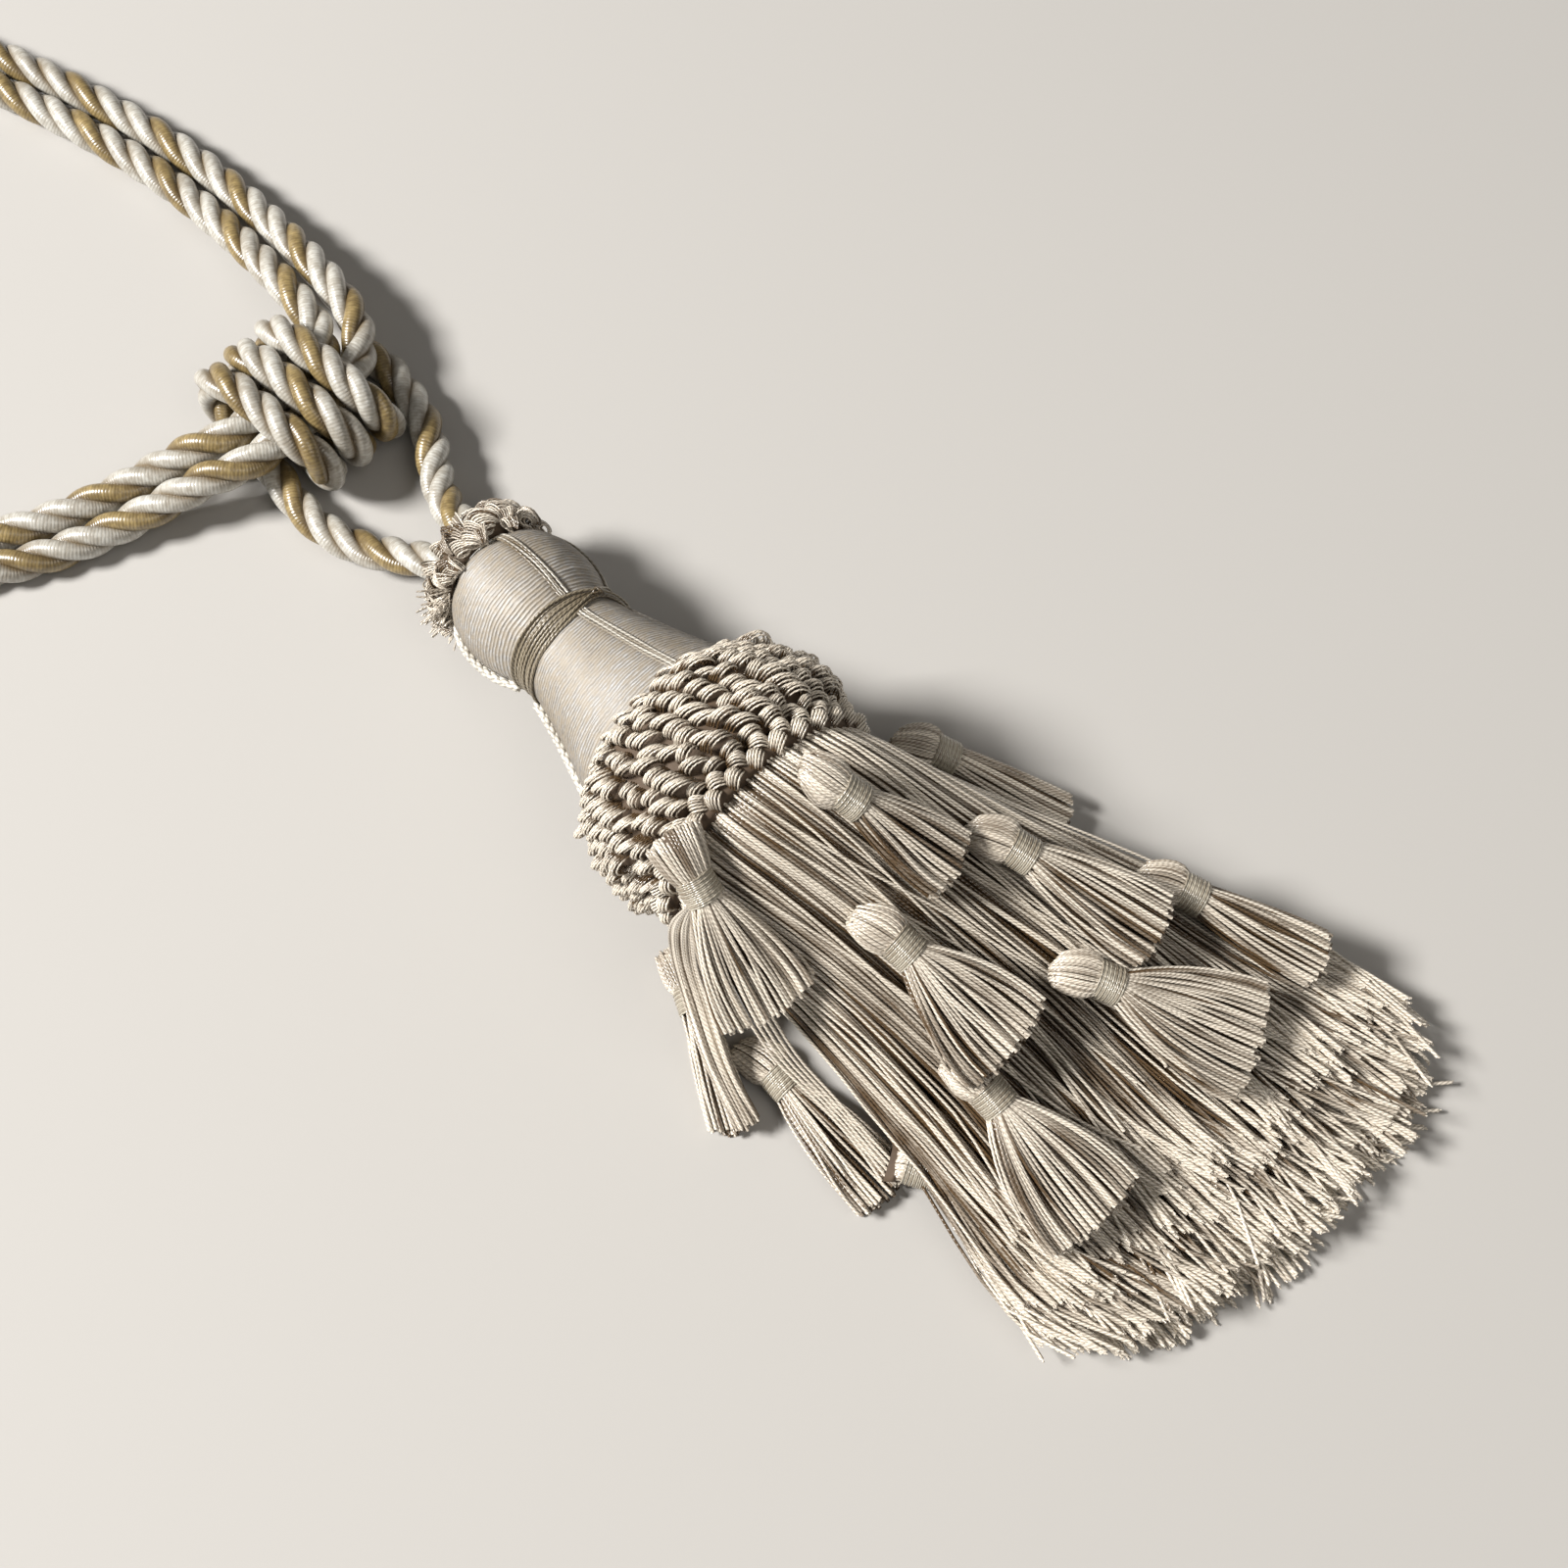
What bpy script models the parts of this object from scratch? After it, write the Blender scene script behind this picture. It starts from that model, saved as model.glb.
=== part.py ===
"""Curtain tieback tassel, lying on a table.

A wooden mould wound with silky yarn carries a looped ruff at its head, four lengthwise side cords, a
bound neck, a looped collar with a braid under it, a long cut fringe and ten small tassels. Its own
rope is wound three times round the doubled rope of the embrace, which ends in two plain hook loops.

Lengths are millimetres and angles degrees. The tassel's axis runs along +X with the skirt at +X and the
table at z = 0. Places are measured from the middle of the neck; add_part() turns them into metres about
the middle of the tassel's footprint.
"""

import math
import random

import bmesh
import bpy
from mathutils import Matrix, Vector

# ---- driving sizes -------------------------------------------------------------------------------
GAP = 0.3                     # left between pieces that touch
FOOTPRINT_MIDDLE = (68.3, 8.6)  # of the tassel without its ropes: the world origin

AXIS_TILT = 9.0               # the mould rises from the table towards the collar
AXIS_YAW = -2.0               # and turns a little away from the skirt's middle line
NECK_HEIGHT = 17.6            # height of the mould's axis at the neck

ROPE_RADIUS = 3.75            # to the crown of a strand
ROPE_VALLEY = 2.65            # to the groove between two strands
ROPE_LAY = 20.0               # one full turn of the three strands, right handed
ROPE_SPACING = 2 * ROPE_RADIUS + GAP
STRANDS = 3

YARN = (0.56, 0.50, 0.40)     # champagne viscose
YARN_SHADE = (0.42, 0.35, 0.26)
WOUND_YARN = (0.66, 0.62, 0.55)
ROPE_IVORY = (0.80, 0.77, 0.70)


# ---- helpers -------------------------------------------------------------------------------------
def clear_scene():
    for old in list(bpy.data.objects):
        bpy.data.objects.remove(old, do_unlink=True)


def satin(name, colour, roughness):
    material = bpy.data.materials.new(name)
    material.use_nodes = True
    shader = material.node_tree.nodes["Principled BSDF"]
    shader.inputs["Base Color"].default_value = (*colour, 1.0)
    shader.inputs["Roughness"].default_value = roughness
    shader.inputs["Metallic"].default_value = 0.0
    return material


def add_part(name, bm, colour, roughness=0.5):
    """Turn a mesh drawn in millimetres from the neck into one object in metres."""
    bmesh.ops.recalc_face_normals(bm, faces=bm.faces)
    to_metres = Matrix.Scale(0.001, 4)
    to_footprint = Matrix.Translation((-FOOTPRINT_MIDDLE[0], -FOOTPRINT_MIDDLE[1], 0.0))
    bm.transform(to_metres @ to_footprint)
    mesh = bpy.data.meshes.new(name)
    bm.to_mesh(mesh)
    bm.free()
    mesh.materials.append(satin(name, colour, roughness))
    mesh.shade_smooth()
    mesh.set_sharp_from_angle(angle=math.radians(50))
    part = bpy.data.objects.new(name, mesh)
    bpy.context.scene.collection.objects.link(part)
    return part


def read_table(rows, x):
    """Straight-line reading of a table whose rows are (x, value, value, ...)."""
    if x <= rows[0][0]:
        return rows[0][1:]
    for low, high in zip(rows, rows[1:]):
        if x <= high[0]:
            part = (x - low[0]) / (high[0] - low[0])
            return [a + part * (b - a) for a, b in zip(low[1:], high[1:])]
    return rows[-1][1:]


def axis_point(along, radius, angle):
    """A point about the mould's axis: angle 0 is on top, positive towards +Y. The table stops it."""
    tilt = math.radians(AXIS_TILT)
    turn = math.radians(angle)
    rise = radius * math.cos(turn)
    x = along * math.cos(tilt) - rise * math.sin(tilt)
    y = radius * math.sin(turn)
    z = NECK_HEIGHT + along * math.sin(tilt) + rise * math.cos(tilt)
    point = Matrix.Rotation(math.radians(AXIS_YAW), 3, "Z") @ Vector((x, y, z))
    point.z = max(point.z, 0.0)
    return point


def closed_rings(rings):
    """A solid from rings of equal count, with a flat cap on the first and the last."""
    bm = bmesh.new()
    rows = [[bm.verts.new(p) for p in ring] for ring in rings]
    count = len(rows[0])
    for low, high in zip(rows, rows[1:]):
        for i in range(count):
            j = (i + 1) % count
            bm.faces.new((low[i], low[j], high[j], high[i]))
    bm.faces.new(reversed(rows[0]))
    bm.faces.new(rows[-1])
    return bm


def closed_band(sections):
    """A ring-shaped solid from closed sections of equal count that follow each other round."""
    bm = bmesh.new()
    rows = [[bm.verts.new(p) for p in section] for section in sections]
    count = len(rows[0])
    for k, low in enumerate(rows):
        high = rows[(k + 1) % len(rows)]
        for i in range(count):
            j = (i + 1) % count
            bm.faces.new((low[i], low[j], high[j], high[i]))
    return bm


# ---- the mould: turned wood, wound with yarn ------------------------------------------------------
# along the axis, radius
MOULD_FORM = [
    (-26.0, 8.4), (-24.4, 11.2), (-21.5, 13.2), (-17.0, 14.3), (-12.0, 14.4), (-7.4, 13.5),
    (-4.4, 12.1), (2.2, 12.1), (7.0, 13.4), (13.0, 15.1), (20.0, 17.4), (27.0, 19.9),
    (34.0, 21.2), (48.0, 21.2),
]
MOULD_SIDES = 32


def make_mould():
    turns = [360.0 * i / MOULD_SIDES for i in range(MOULD_SIDES)]
    rings = [[axis_point(a, r, t) for t in turns] for a, r in MOULD_FORM]
    return add_part("wound_mould", closed_rings(rings), WOUND_YARN, 0.38)


def mould_radius(along):
    return read_table(MOULD_FORM, along)[0]


# ---- the ruff: short cut and looped bundles round the rope's way out ---------------------------------
# along the axis, radius, share of the ridge, share of the flare
RUFF_FORM = [
    (-26.8, 9.1, 0.0, 0.0), (-31.2, 9.1, 0.0, 0.0), (-32.8, 10.1, 0.8, 1.0), (-31.6, 11.8, 1.2, 1.0),
    (-28.6, 12.9, 1.0, 1.0), (-25.2, 13.6, 0.8, 1.0), (-22.6, 14.0, 0.2, 0.0), (-24.4, 12.6, 0.0, 0.0),
]
RUFF_BUNDLES = 22
RUFF_RIDGE = 0.7              # of a bundle's crown above the mean surface
RUFF_FLARE = 3.1              # outwards and forwards where the cut ends fan out
RUFF_FLARE_ANGLE = -105.0     # the middle of that side
RUFF_FLARE_POWER = 1.5        # how quickly the fan dies away round the ring


def make_ruff():
    sections = []
    for column in range(2 * RUFF_BUNDLES):
        angle = 180.0 * column / RUFF_BUNDLES
        crown = RUFF_RIDGE if column % 2 == 0 else -RUFF_RIDGE
        nearness = (1 + math.cos(math.radians(angle - RUFF_FLARE_ANGLE))) / 2
        fan = RUFF_FLARE * nearness ** RUFF_FLARE_POWER
        sections.append([
            axis_point(a - fan * flared, r + crown * proud + fan * flared, angle)
            for a, r, proud, flared in RUFF_FORM
        ])
    return add_part("head_ruff", closed_band(sections), YARN, 0.55)


# ---- the neck binding: turns of thread in the mould's groove ---------------------------------------
BINDING_TURNS = 4
BINDING_MIDDLE = -1.1
BINDING_HALF_LENGTH = 2.9
BINDING_CLEARANCE = 0.4       # the 24-sided ring keeps this off the 32-sided mould
BINDING_VALLEY = 1.1          # depth of the ring between two turns
BINDING_CROWN = 1.6           # and on a turn
BINDING_SIDES = 24


def make_neck_binding():
    inner = mould_radius(BINDING_MIDDLE) + BINDING_CLEARANCE
    pitch = 2 * BINDING_HALF_LENGTH / BINDING_TURNS
    first = BINDING_MIDDLE - BINDING_HALF_LENGTH
    profile = [(first, inner), (first, inner + BINDING_VALLEY)]
    for turn in range(BINDING_TURNS):
        profile.append((first + (turn + 0.5) * pitch, inner + BINDING_CROWN))
        profile.append((first + (turn + 1) * pitch, inner + BINDING_VALLEY))
    profile.append((first + BINDING_TURNS * pitch, inner))
    sections = [
        [axis_point(a, r, 360.0 * i / BINDING_SIDES) for a, r in profile] for i in range(BINDING_SIDES)
    ]
    return add_part("neck_binding", closed_band(sections), YARN_SHADE, 0.5)


# ---- the side cords: twisted threads laid along the mould ------------------------------------------
SIDE_CORD_ANGLES = (15.0, 82.0, -104.0, 155.0)
SIDE_CORD_RADIUS = 0.8
SIDE_CORD_LIFT = 1.25         # of its middle above the wound surface
SIDE_CORD_SIDES = 6
HEAD_CORD_SPAN = (-20.6, -4.6)
BELL_CORD_SPAN = (2.4, 27.0)
SIDE_CORD_STEPS = 5


def make_side_cord(name, angle, span):
    """A thin cord along the mould between two places on its axis."""
    places = [span[0] + (span[1] - span[0]) * k / SIDE_CORD_STEPS for k in range(SIDE_CORD_STEPS + 1)]
    middles = [axis_point(a, mould_radius(a) + SIDE_CORD_LIFT, angle) for a in places]
    rings = []
    for k, middle in enumerate(middles):
        ahead = (middles[min(k + 1, SIDE_CORD_STEPS)] - middles[max(k - 1, 0)]).normalized()
        out = (middle - axis_point(places[k], 0.0, 0.0)).normalized()
        side = ahead.cross(out).normalized()
        out = side.cross(ahead)
        rings.append([
            middle + SIDE_CORD_RADIUS * (math.cos(t) * out + math.sin(t) * side)
            for t in (math.tau * i / SIDE_CORD_SIDES for i in range(SIDE_CORD_SIDES))
        ])
    return add_part(name, closed_rings(rings), YARN, 0.5)


def make_side_cords():
    for number, angle in enumerate(SIDE_CORD_ANGLES, start=1):
        make_side_cord(f"side_cord_head_{number}", angle, HEAD_CORD_SPAN)
        make_side_cord(f"side_cord_bell_{number}", angle, BELL_CORD_SPAN)


# ---- the collar: rows of small loops in slanting ridges -----------------------------------------------
# along the axis, radius, share of the ridge height
COLLAR_FORM = [
    (28.4, 20.9, 0.0), (28.8, 22.6, 0.4), (31.6, 25.6, 0.9), (34.8, 26.6, 0.7), (38.2, 28.0, 1.0),
    (41.8, 27.6, 0.7), (45.2, 28.4, 1.0), (48.6, 27.4, 0.8), (50.6, 25.6, 0.4), (50.6, 21.7, 0.0),
    (35.0, 21.7, 0.0),
]
COLLAR_RIDGES = 34
COLLAR_RIDGE_HEIGHT = 0.9
COLLAR_SLANT = 0.9            # degrees round the axis for each millimetre along it


def make_collar():
    sections = []
    for column in range(2 * COLLAR_RIDGES):
        angle = 180.0 * column / COLLAR_RIDGES
        crown = 1.0 if column % 2 == 0 else -1.0
        sections.append([
            axis_point(a, r + crown * share * COLLAR_RIDGE_HEIGHT, angle + COLLAR_SLANT * a)
            for a, r, share in COLLAR_FORM
        ])
    return add_part("loop_collar", closed_band(sections), YARN, 0.55)


# ---- the braid that hides the fringe's heading --------------------------------------------------------
# along the axis, radius, share of the link height
BRAID_FORM = [
    (51.0, 22.3, 0.0), (51.0, 24.8, 0.5), (52.8, 26.0, 1.0), (54.8, 25.0, 0.6), (55.2, 22.8, 0.0),
    (53.1, 21.7, 0.0),
]
BRAID_LINKS = 28
BRAID_LINK_HEIGHT = 0.7
BRAID_LEAN = 4.0              # degrees a link's crown leads its root


def make_braid():
    sections = []
    for column in range(2 * BRAID_LINKS):
        angle = 180.0 * column / BRAID_LINKS
        crown = 1.0 if column % 2 == 0 else -1.0
        sections.append([
            axis_point(a, r + crown * BRAID_LINK_HEIGHT * share, angle + BRAID_LEAN * share)
            for a, r, share in BRAID_FORM
        ])
    return add_part("collar_braid", closed_band(sections), YARN, 0.55)


# ---- the skirt: a ring of cut fringe that has sunk flat on the table ------------------------------------
# x, middle y, half width, underside z, top z, flatness (0 round, 1 flat)
SKIRT_FORM = [
    (57.0, 0.3, 23.4, 2.6, 48.8, 0.00),
    (72.0, 2.8, 26.8, 0.0, 39.8, 0.35),
    (90.0, 7.0, 31.8, 0.0, 30.0, 0.62),
    (112.0, 10.6, 38.4, 0.0, 20.6, 0.85),
    (140.0, 11.8, 46.0, 0.0, 13.8, 1.00),
    (175.0, 15.5, 51.5, 0.0, 11.0, 1.00),
]
# share of the half width, x of the cut ends on the table
SKIRT_END = [
    (-1.00, 147.0), (-0.80, 158.0), (-0.60, 164.0), (-0.30, 168.0), (0.00, 171.5), (0.50, 173.5),
    (0.85, 172.0), (1.00, 161.0),
]
SKIRT_SHOULDER = (59.0, 23.9)  # along the axis and radius, where the fringe has passed the braid
SKIRT_STATIONS = (74.0, 97.0, 126.0)
SKIRT_LOCKS = 36              # round the ring, in each of two layers
SKIRT_ROOT = (51.4, 54.6)     # the heading's two ends along the axis
SKIRT_ROOT_RADII = (21.2, 17.6, 14.0)
SKIRT_LAYER_DEPTH = 2.5       # of each layer of fringe where it has sunk flat
SKIRT_SETTLE = 0.7            # the underside is pressed level by this much
SKIRT_BOXINESS = 0.62         # 1 gives the flat part square shoulders, 0 an oval
SKIRT_SLACK = 1.6             # a lock is cut this much longer or shorter than the line
SKIRT_LAST_BAY = 8.0          # no station nearer than this to a lock's end
LOCK_MARGIN = (0.06, 0.035)   # share of its cell a lock gives up each side: at the root, more each station
LOCK_TOP = 0.15               # gap above a lock in its layer
LOCK_UNDER = 0.25             # gap under it
UPPER_SHORTER = (15.0, 8.0)   # the top half's two layers end this much before the table's
LOWER_SHORTER = (0.0, 4.0)


def skirt_point(x, angle, depth):
    """A point of the sunk skirt: angle 0 is its top, depth is measured inwards from its surface."""
    middle, half_width, low, high, flat = read_table(SKIRT_FORM, x)
    turn = math.radians(angle)
    half_height = (high - low) / 2
    across = (1 - flat) * math.sin(turn) + flat * math.asin(math.sin(turn)) * 2 / math.pi
    lift = math.copysign(abs(math.cos(turn)) ** (1 - SKIRT_BOXINESS * flat), math.cos(turn))
    z = (low + high) / 2 + (half_height - depth) * lift
    if math.cos(turn) < -1e-6:
        z = max(z - SKIRT_SETTLE, 0.0)
    return Vector((x, middle + (half_width - depth) * across, z))


def skirt_end(angle, layer, slack):
    """Where a lock is cut: the table's own line, less on top."""
    share = math.asin(math.sin(math.radians(angle))) * 2 / math.pi
    line = read_table(SKIRT_END, share)[0]
    on_top = max(0.0, math.cos(math.radians(angle))) ** 0.35
    return line - on_top * UPPER_SHORTER[layer] - (1 - on_top) * LOWER_SHORTER[layer] + slack


def add_lock(bm, root, sections):
    """Grow one four-sided lock from four root corners through its sections to a flat end."""
    low = root
    for section in sections:
        high = [bm.verts.new(p) for p in section]
        for i in range(4):
            j = (i + 1) % 4
            bm.faces.new((low[i], low[j], high[j], high[i]))
        low = high
    bm.faces.new(low)


def make_skirt():
    chance = random.Random(11)
    bm = bmesh.new()
    back, front = SKIRT_ROOT
    cell = 360.0 / SKIRT_LOCKS
    grid = [
        [bm.verts.new(axis_point(front, r, cell * i)) for r in SKIRT_ROOT_RADII] for i in range(SKIRT_LOCKS)
    ]
    rear = [
        [bm.verts.new(axis_point(back, r, cell * i)) for r in (SKIRT_ROOT_RADII[0], SKIRT_ROOT_RADII[-1])]
        for i in range(SKIRT_LOCKS)
    ]
    for i in range(SKIRT_LOCKS):
        j = (i + 1) % SKIRT_LOCKS
        bm.faces.new((rear[i][0], rear[j][0], grid[j][0], grid[i][0]))
        bm.faces.new((rear[i][1], grid[i][-1], grid[j][-1], rear[j][1]))
        bm.faces.new((rear[i][0], rear[i][1], rear[j][1], rear[j][0]))
        for layer in range(2):
            root = (grid[i][layer], grid[j][layer], grid[j][layer + 1], grid[i][layer + 1])
            end = skirt_end(cell * (i + 0.5), layer, chance.uniform(-SKIRT_SLACK, SKIRT_SLACK))
            places = [None] + [x for x in SKIRT_STATIONS if x < end - SKIRT_LAST_BAY] + [end]
            outer = layer * SKIRT_LAYER_DEPTH + LOCK_TOP
            inner = (layer + 1) * SKIRT_LAYER_DEPTH - LOCK_UNDER
            sections = []
            for k, x in enumerate(places):
                margin = LOCK_MARGIN[0] + LOCK_MARGIN[1] * k
                first = cell * (i + margin)
                last = cell * (i + 1 - margin)
                corners = ((first, outer), (last, outer), (last, inner), (first, inner))
                if x is None:
                    along, radius = SKIRT_SHOULDER
                    sections.append([axis_point(along, radius - depth, angle) for angle, depth in corners])
                else:
                    sections.append([skirt_point(x, angle, depth) for angle, depth in corners])
            add_lock(bm, root, sections)
    return add_part("skirt_fringe", bm, YARN, 0.5)


# ---- the small tassels: a folded head, a bound neck and a fan of cut yarn --------------------------------
# name, neck x, neck y, neck z, end x, end y, end z, width at the cut end
SMALL_TASSELS = [
    ("a", 57.0, -22.3, 43.8, 79.0, -27.0, 29.6, 17.5),
    ("b", 61.8, -31.0, 3.2, 85.0, -43.2, 1.7, 8.0),
    ("c", 84.5, -30.6, 3.2, 112.6, -34.0, 1.7, 9.5),
    ("d", 88.0, -4.0, 36.8, 115.0, 0.2, 30.6, 18.5),
    ("e", 65.4, 6.0, 48.6, 85.6, 12.2, 38.2, 13.2),
    ("f", 64.8, 34.2, 14.0, 89.2, 45.0, 4.4, 8.0),
    ("g", 90.6, 23.8, 33.0, 118.2, 31.8, 25.6, 14.4),
    ("h", 116.6, 43.6, 19.6, 142.6, 52.3, 14.6, 11.0),
    ("i", 116.6, 19.0, 24.4, 143.4, 31.0, 17.8, 21.5),
    ("j", 118.2, -9.8, 23.4, 146.6, -10.6, 17.4, 20.5),
]
# along the small tassel from its neck, half width, half thickness
SMALL_TASSEL_FORM = [
    (-11.0, 2.2, 1.2), (-9.4, 3.9, 2.6), (-6.0, 4.4, 3.2), (-2.8, 3.1, 2.8), (0.0, 3.3, 3.0), (2.8, 3.1, 2.8),
]
SMALL_LOCKS_ACROSS = 4
SMALL_LOCKS_DEEP = 2
SMALL_END_HALF_THICKNESS = 1.6


def rounded(u, v):
    """Square coordinates from -1 to 1 drawn onto a disc."""
    return u * math.sqrt(1 - v * v / 2), v * math.sqrt(1 - u * u / 2)


def make_small_tassel(name, neck, end, end_width):
    chance = random.Random(name)
    ahead = (end - neck).normalized()
    side = Vector((0.0, 0.0, 1.0)).cross(ahead).normalized()
    up = ahead.cross(side)
    length = (end - neck).length

    def place(along, across, lift):
        point = neck + ahead * along + side * across + up * lift
        return Vector((point.x, point.y, max(point.z, 0.0)))

    def cell_corner(i, j):
        return 2 * i / SMALL_LOCKS_ACROSS - 1, 2 * j / SMALL_LOCKS_DEEP - 1

    wide, deep = SMALL_LOCKS_ACROSS, SMALL_LOCKS_DEEP
    rim = [(i, 0) for i in range(wide)] + [(wide, j) for j in range(deep)]
    rim += [(i, deep) for i in range(wide, 0, -1)] + [(0, j) for j in range(deep, 0, -1)]
    bm = bmesh.new()
    rings = []
    for along, half_width, half_thick in SMALL_TASSEL_FORM:
        ring = []
        for i, j in rim:
            u, v = rounded(*cell_corner(i, j))
            ring.append(bm.verts.new(place(along, u * half_width, v * half_thick)))
        rings.append(ring)
    for low, high in zip(rings, rings[1:]):
        for i in range(len(rim)):
            j = (i + 1) % len(rim)
            bm.faces.new((low[i], low[j], high[j], high[i]))
    bm.faces.new(reversed(rings[0]))
    neck_end, half_width, half_thick = SMALL_TASSEL_FORM[-1]
    corner = dict(zip(rim, rings[-1]))
    for i in range(1, wide):
        for j in range(1, deep):
            u, v = rounded(*cell_corner(i, j))
            corner[i, j] = bm.verts.new(place(neck_end, u * half_width, v * half_thick))
    for i in range(wide):
        for j in range(deep):
            root = (corner[i, j], corner[i + 1, j], corner[i + 1, j + 1], corner[i, j + 1])
            cut = length + chance.uniform(-0.7, 0.7) - 0.8 * abs(i - (wide - 1) / 2)
            sections = []
            for share, inset in ((0.3, 0.10), (1.0, 0.13)):
                along = neck_end + share * (cut - neck_end)
                half_w = half_width + share * (end_width / 2 - half_width)
                half_t = half_thick + share * (SMALL_END_HALF_THICKNESS - half_thick)
                corners = (
                    (i + inset, j + inset), (i + 1 - inset, j + inset),
                    (i + 1 - inset, j + 1 - inset), (i + inset, j + 1 - inset),
                )
                section = []
                for a, b in corners:
                    square = cell_corner(a, b)
                    disc = rounded(*square)
                    u = disc[0] + share * (square[0] - disc[0])
                    v = disc[1] + share * (square[1] - disc[1])
                    section.append(place(along, u * half_w, v * half_t))
                sections.append(section)
            add_lock(bm, root, sections)
    return add_part(f"small_tassel_{name}", bm, YARN, 0.5)


def make_small_tassels():
    for name, x1, y1, z1, x2, y2, z2, width in SMALL_TASSELS:
        make_small_tassel(name, Vector((x1, y1, z1)), Vector((x2, y2, z2)), width)


# ---- the ropes --------------------------------------------------------------------------------------------
REST = ROPE_RADIUS + 0.1      # height of a rope's middle where it lies on the table
CORE_HEIGHT = REST + ROPE_SPACING
KNOT_X = -83.55               # middle of the two ropes inside the knot
WRAP_START_Y = -12.0
WRAP_PITCH = ROPE_SPACING + 0.1
WRAPS = 3
WRAP_POINTS = 16              # in one turn
WRAP_BULGE = 12.0             # how far a wrap's side stands out from the core rope's middle

# from the head to the underside of the knot: x, y, z
LEG_OUT = [
    (-26.9, -3.2, 13.4), (-31.5, -3.5, 13.0), (-38.0, -5.9, 11.6), (-45.0, -8.8, 8.4),
    (-52.5, -11.8, 5.4), (-60.5, -13.9, 4.2), (-68.0, -14.3, REST), (-76.0, -13.2, REST),
]
# from the underside of the knot back to the head
LEG_BACK = [
    (-84.6, 12.5, REST), (-87.9, 14.4, REST), (-88.5, 17.4, REST), (-86.2, 19.9, REST),
    (-82.0, 20.5, REST), (-76.0, 19.7, 4.2), (-70.4, 18.4, 4.8), (-64.6, 16.4, 5.6), (-59.4, 13.6, 6.2),
    (-54.8, 10.4, 6.4), (-49.6, 7.6, 6.8), (-44.0, 5.6, 8.3), (-37.6, 5.0, 10.8),
    (-31.5, 5.1, 12.7), (-26.9, 5.2, 13.4),
]
# the middle of the doubled rope, from the knot to the hook loop: x, y, z
UPPER_ARM = [
    (KNOT_X, 5.0, CORE_HEIGHT), (KNOT_X - 0.5, 9.6, CORE_HEIGHT), (-87.0, 14.4, CORE_HEIGHT),
    (-93.2, 18.2, CORE_HEIGHT), (-103.2, 20.2, CORE_HEIGHT), (-118.5, 22.0, 8.8), (-134.0, 23.0, 5.8),
    (-150.0, 22.7, 4.4), (-165.0, 20.9, REST), (-180.0, 17.8, REST), (-195.0, 13.9, REST),
    (-208.0, 9.8, REST), (-224.0, 4.0, REST), (-241.0, -3.0, REST), (-258.0, -11.0, REST),
    (-274.0, -19.5, REST), (-289.0, -28.5, REST),
]
LOWER_ARM = [
    (KNOT_X, -5.0, CORE_HEIGHT), (KNOT_X - 0.2, -11.0, CORE_HEIGHT), (-84.6, -16.5, CORE_HEIGHT),
    (-87.4, -22.4, 11.0), (-91.4, -30.4, 7.8), (-95.2, -39.4, 5.4), (-99.0, -49.2, 4.4),
    (-103.4, -58.4, REST), (-109.0, -67.5, REST), (-116.5, -77.5, REST), (-125.5, -88.0, REST),
    (-136.0, -97.3, REST), (-148.5, -104.3, REST), (-162.5, -109.3, REST), (-177.5, -112.8, REST),
    (-193.0, -114.8, REST), (-211.0, -115.4, REST), (-232.0, -114.0, REST),
]
EYE_RADIUS = 8.5              # of the hook loop's turn at each arm's end
EYE_LENGTH = 22.0
EYE_SHOULDER = 9.0            # where the two ropes have parted to nearly the full width
EYE_SHOULDER_HALF_WIDTH = 7.0


def smooth_route(points, step):
    """Points a step apart along a centripetal curve through the route's own points."""
    knots = [2 * points[0] - points[1], *points, 2 * points[-1] - points[-2]]
    fine = []
    for p0, p1, p2, p3 in zip(knots, knots[1:], knots[2:], knots[3:]):
        t1 = (p1 - p0).length ** 0.5
        t2 = t1 + (p2 - p1).length ** 0.5
        t3 = t2 + (p3 - p2).length ** 0.5
        for k in range(12):
            t = t1 + (t2 - t1) * k / 12
            a1 = p0.lerp(p1, t / t1)
            a2 = p1.lerp(p2, (t - t1) / (t2 - t1))
            a3 = p2.lerp(p3, (t - t2) / (t3 - t2))
            b1 = a1.lerp(a2, t / t2)
            b2 = a2.lerp(a3, (t - t1) / (t3 - t1))
            fine.append(b1.lerp(b2, (t - t1) / (t2 - t1)))
    fine.append(points[-1].copy())
    reach = [0.0]
    for a, b in zip(fine, fine[1:]):
        reach.append(reach[-1] + (b - a).length)
    count = round(reach[-1] / step)
    route = []
    at = 0
    for k in range(count + 1):
        want = reach[-1] * k / count
        while at < len(fine) - 2 and reach[at + 1] < want:
            at += 1
        route.append(fine[at].lerp(fine[at + 1], (want - reach[at]) / (reach[at + 1] - reach[at])))
    return route


def twisted_rope(route, step):
    """A three-lobed section carried along the route and turned with the lay."""
    side = Vector((0.0, 0.0, 1.0))
    rings = []
    for k, middle in enumerate(route):
        ahead = (route[min(k + 1, len(route) - 1)] - route[max(k - 1, 0)]).normalized()
        side = (side - ahead * side.dot(ahead)).normalized()
        other = ahead.cross(side)
        turn = math.tau * k * step / ROPE_LAY
        ring = []
        for corner in range(2 * STRANDS):
            radius = ROPE_RADIUS if corner % 2 == 0 else ROPE_VALLEY
            angle = turn + math.pi * corner / STRANDS
            ring.append(middle + radius * (math.cos(angle) * side + math.sin(angle) * other))
        rings.append(ring)
    return closed_rings(rings)


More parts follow.
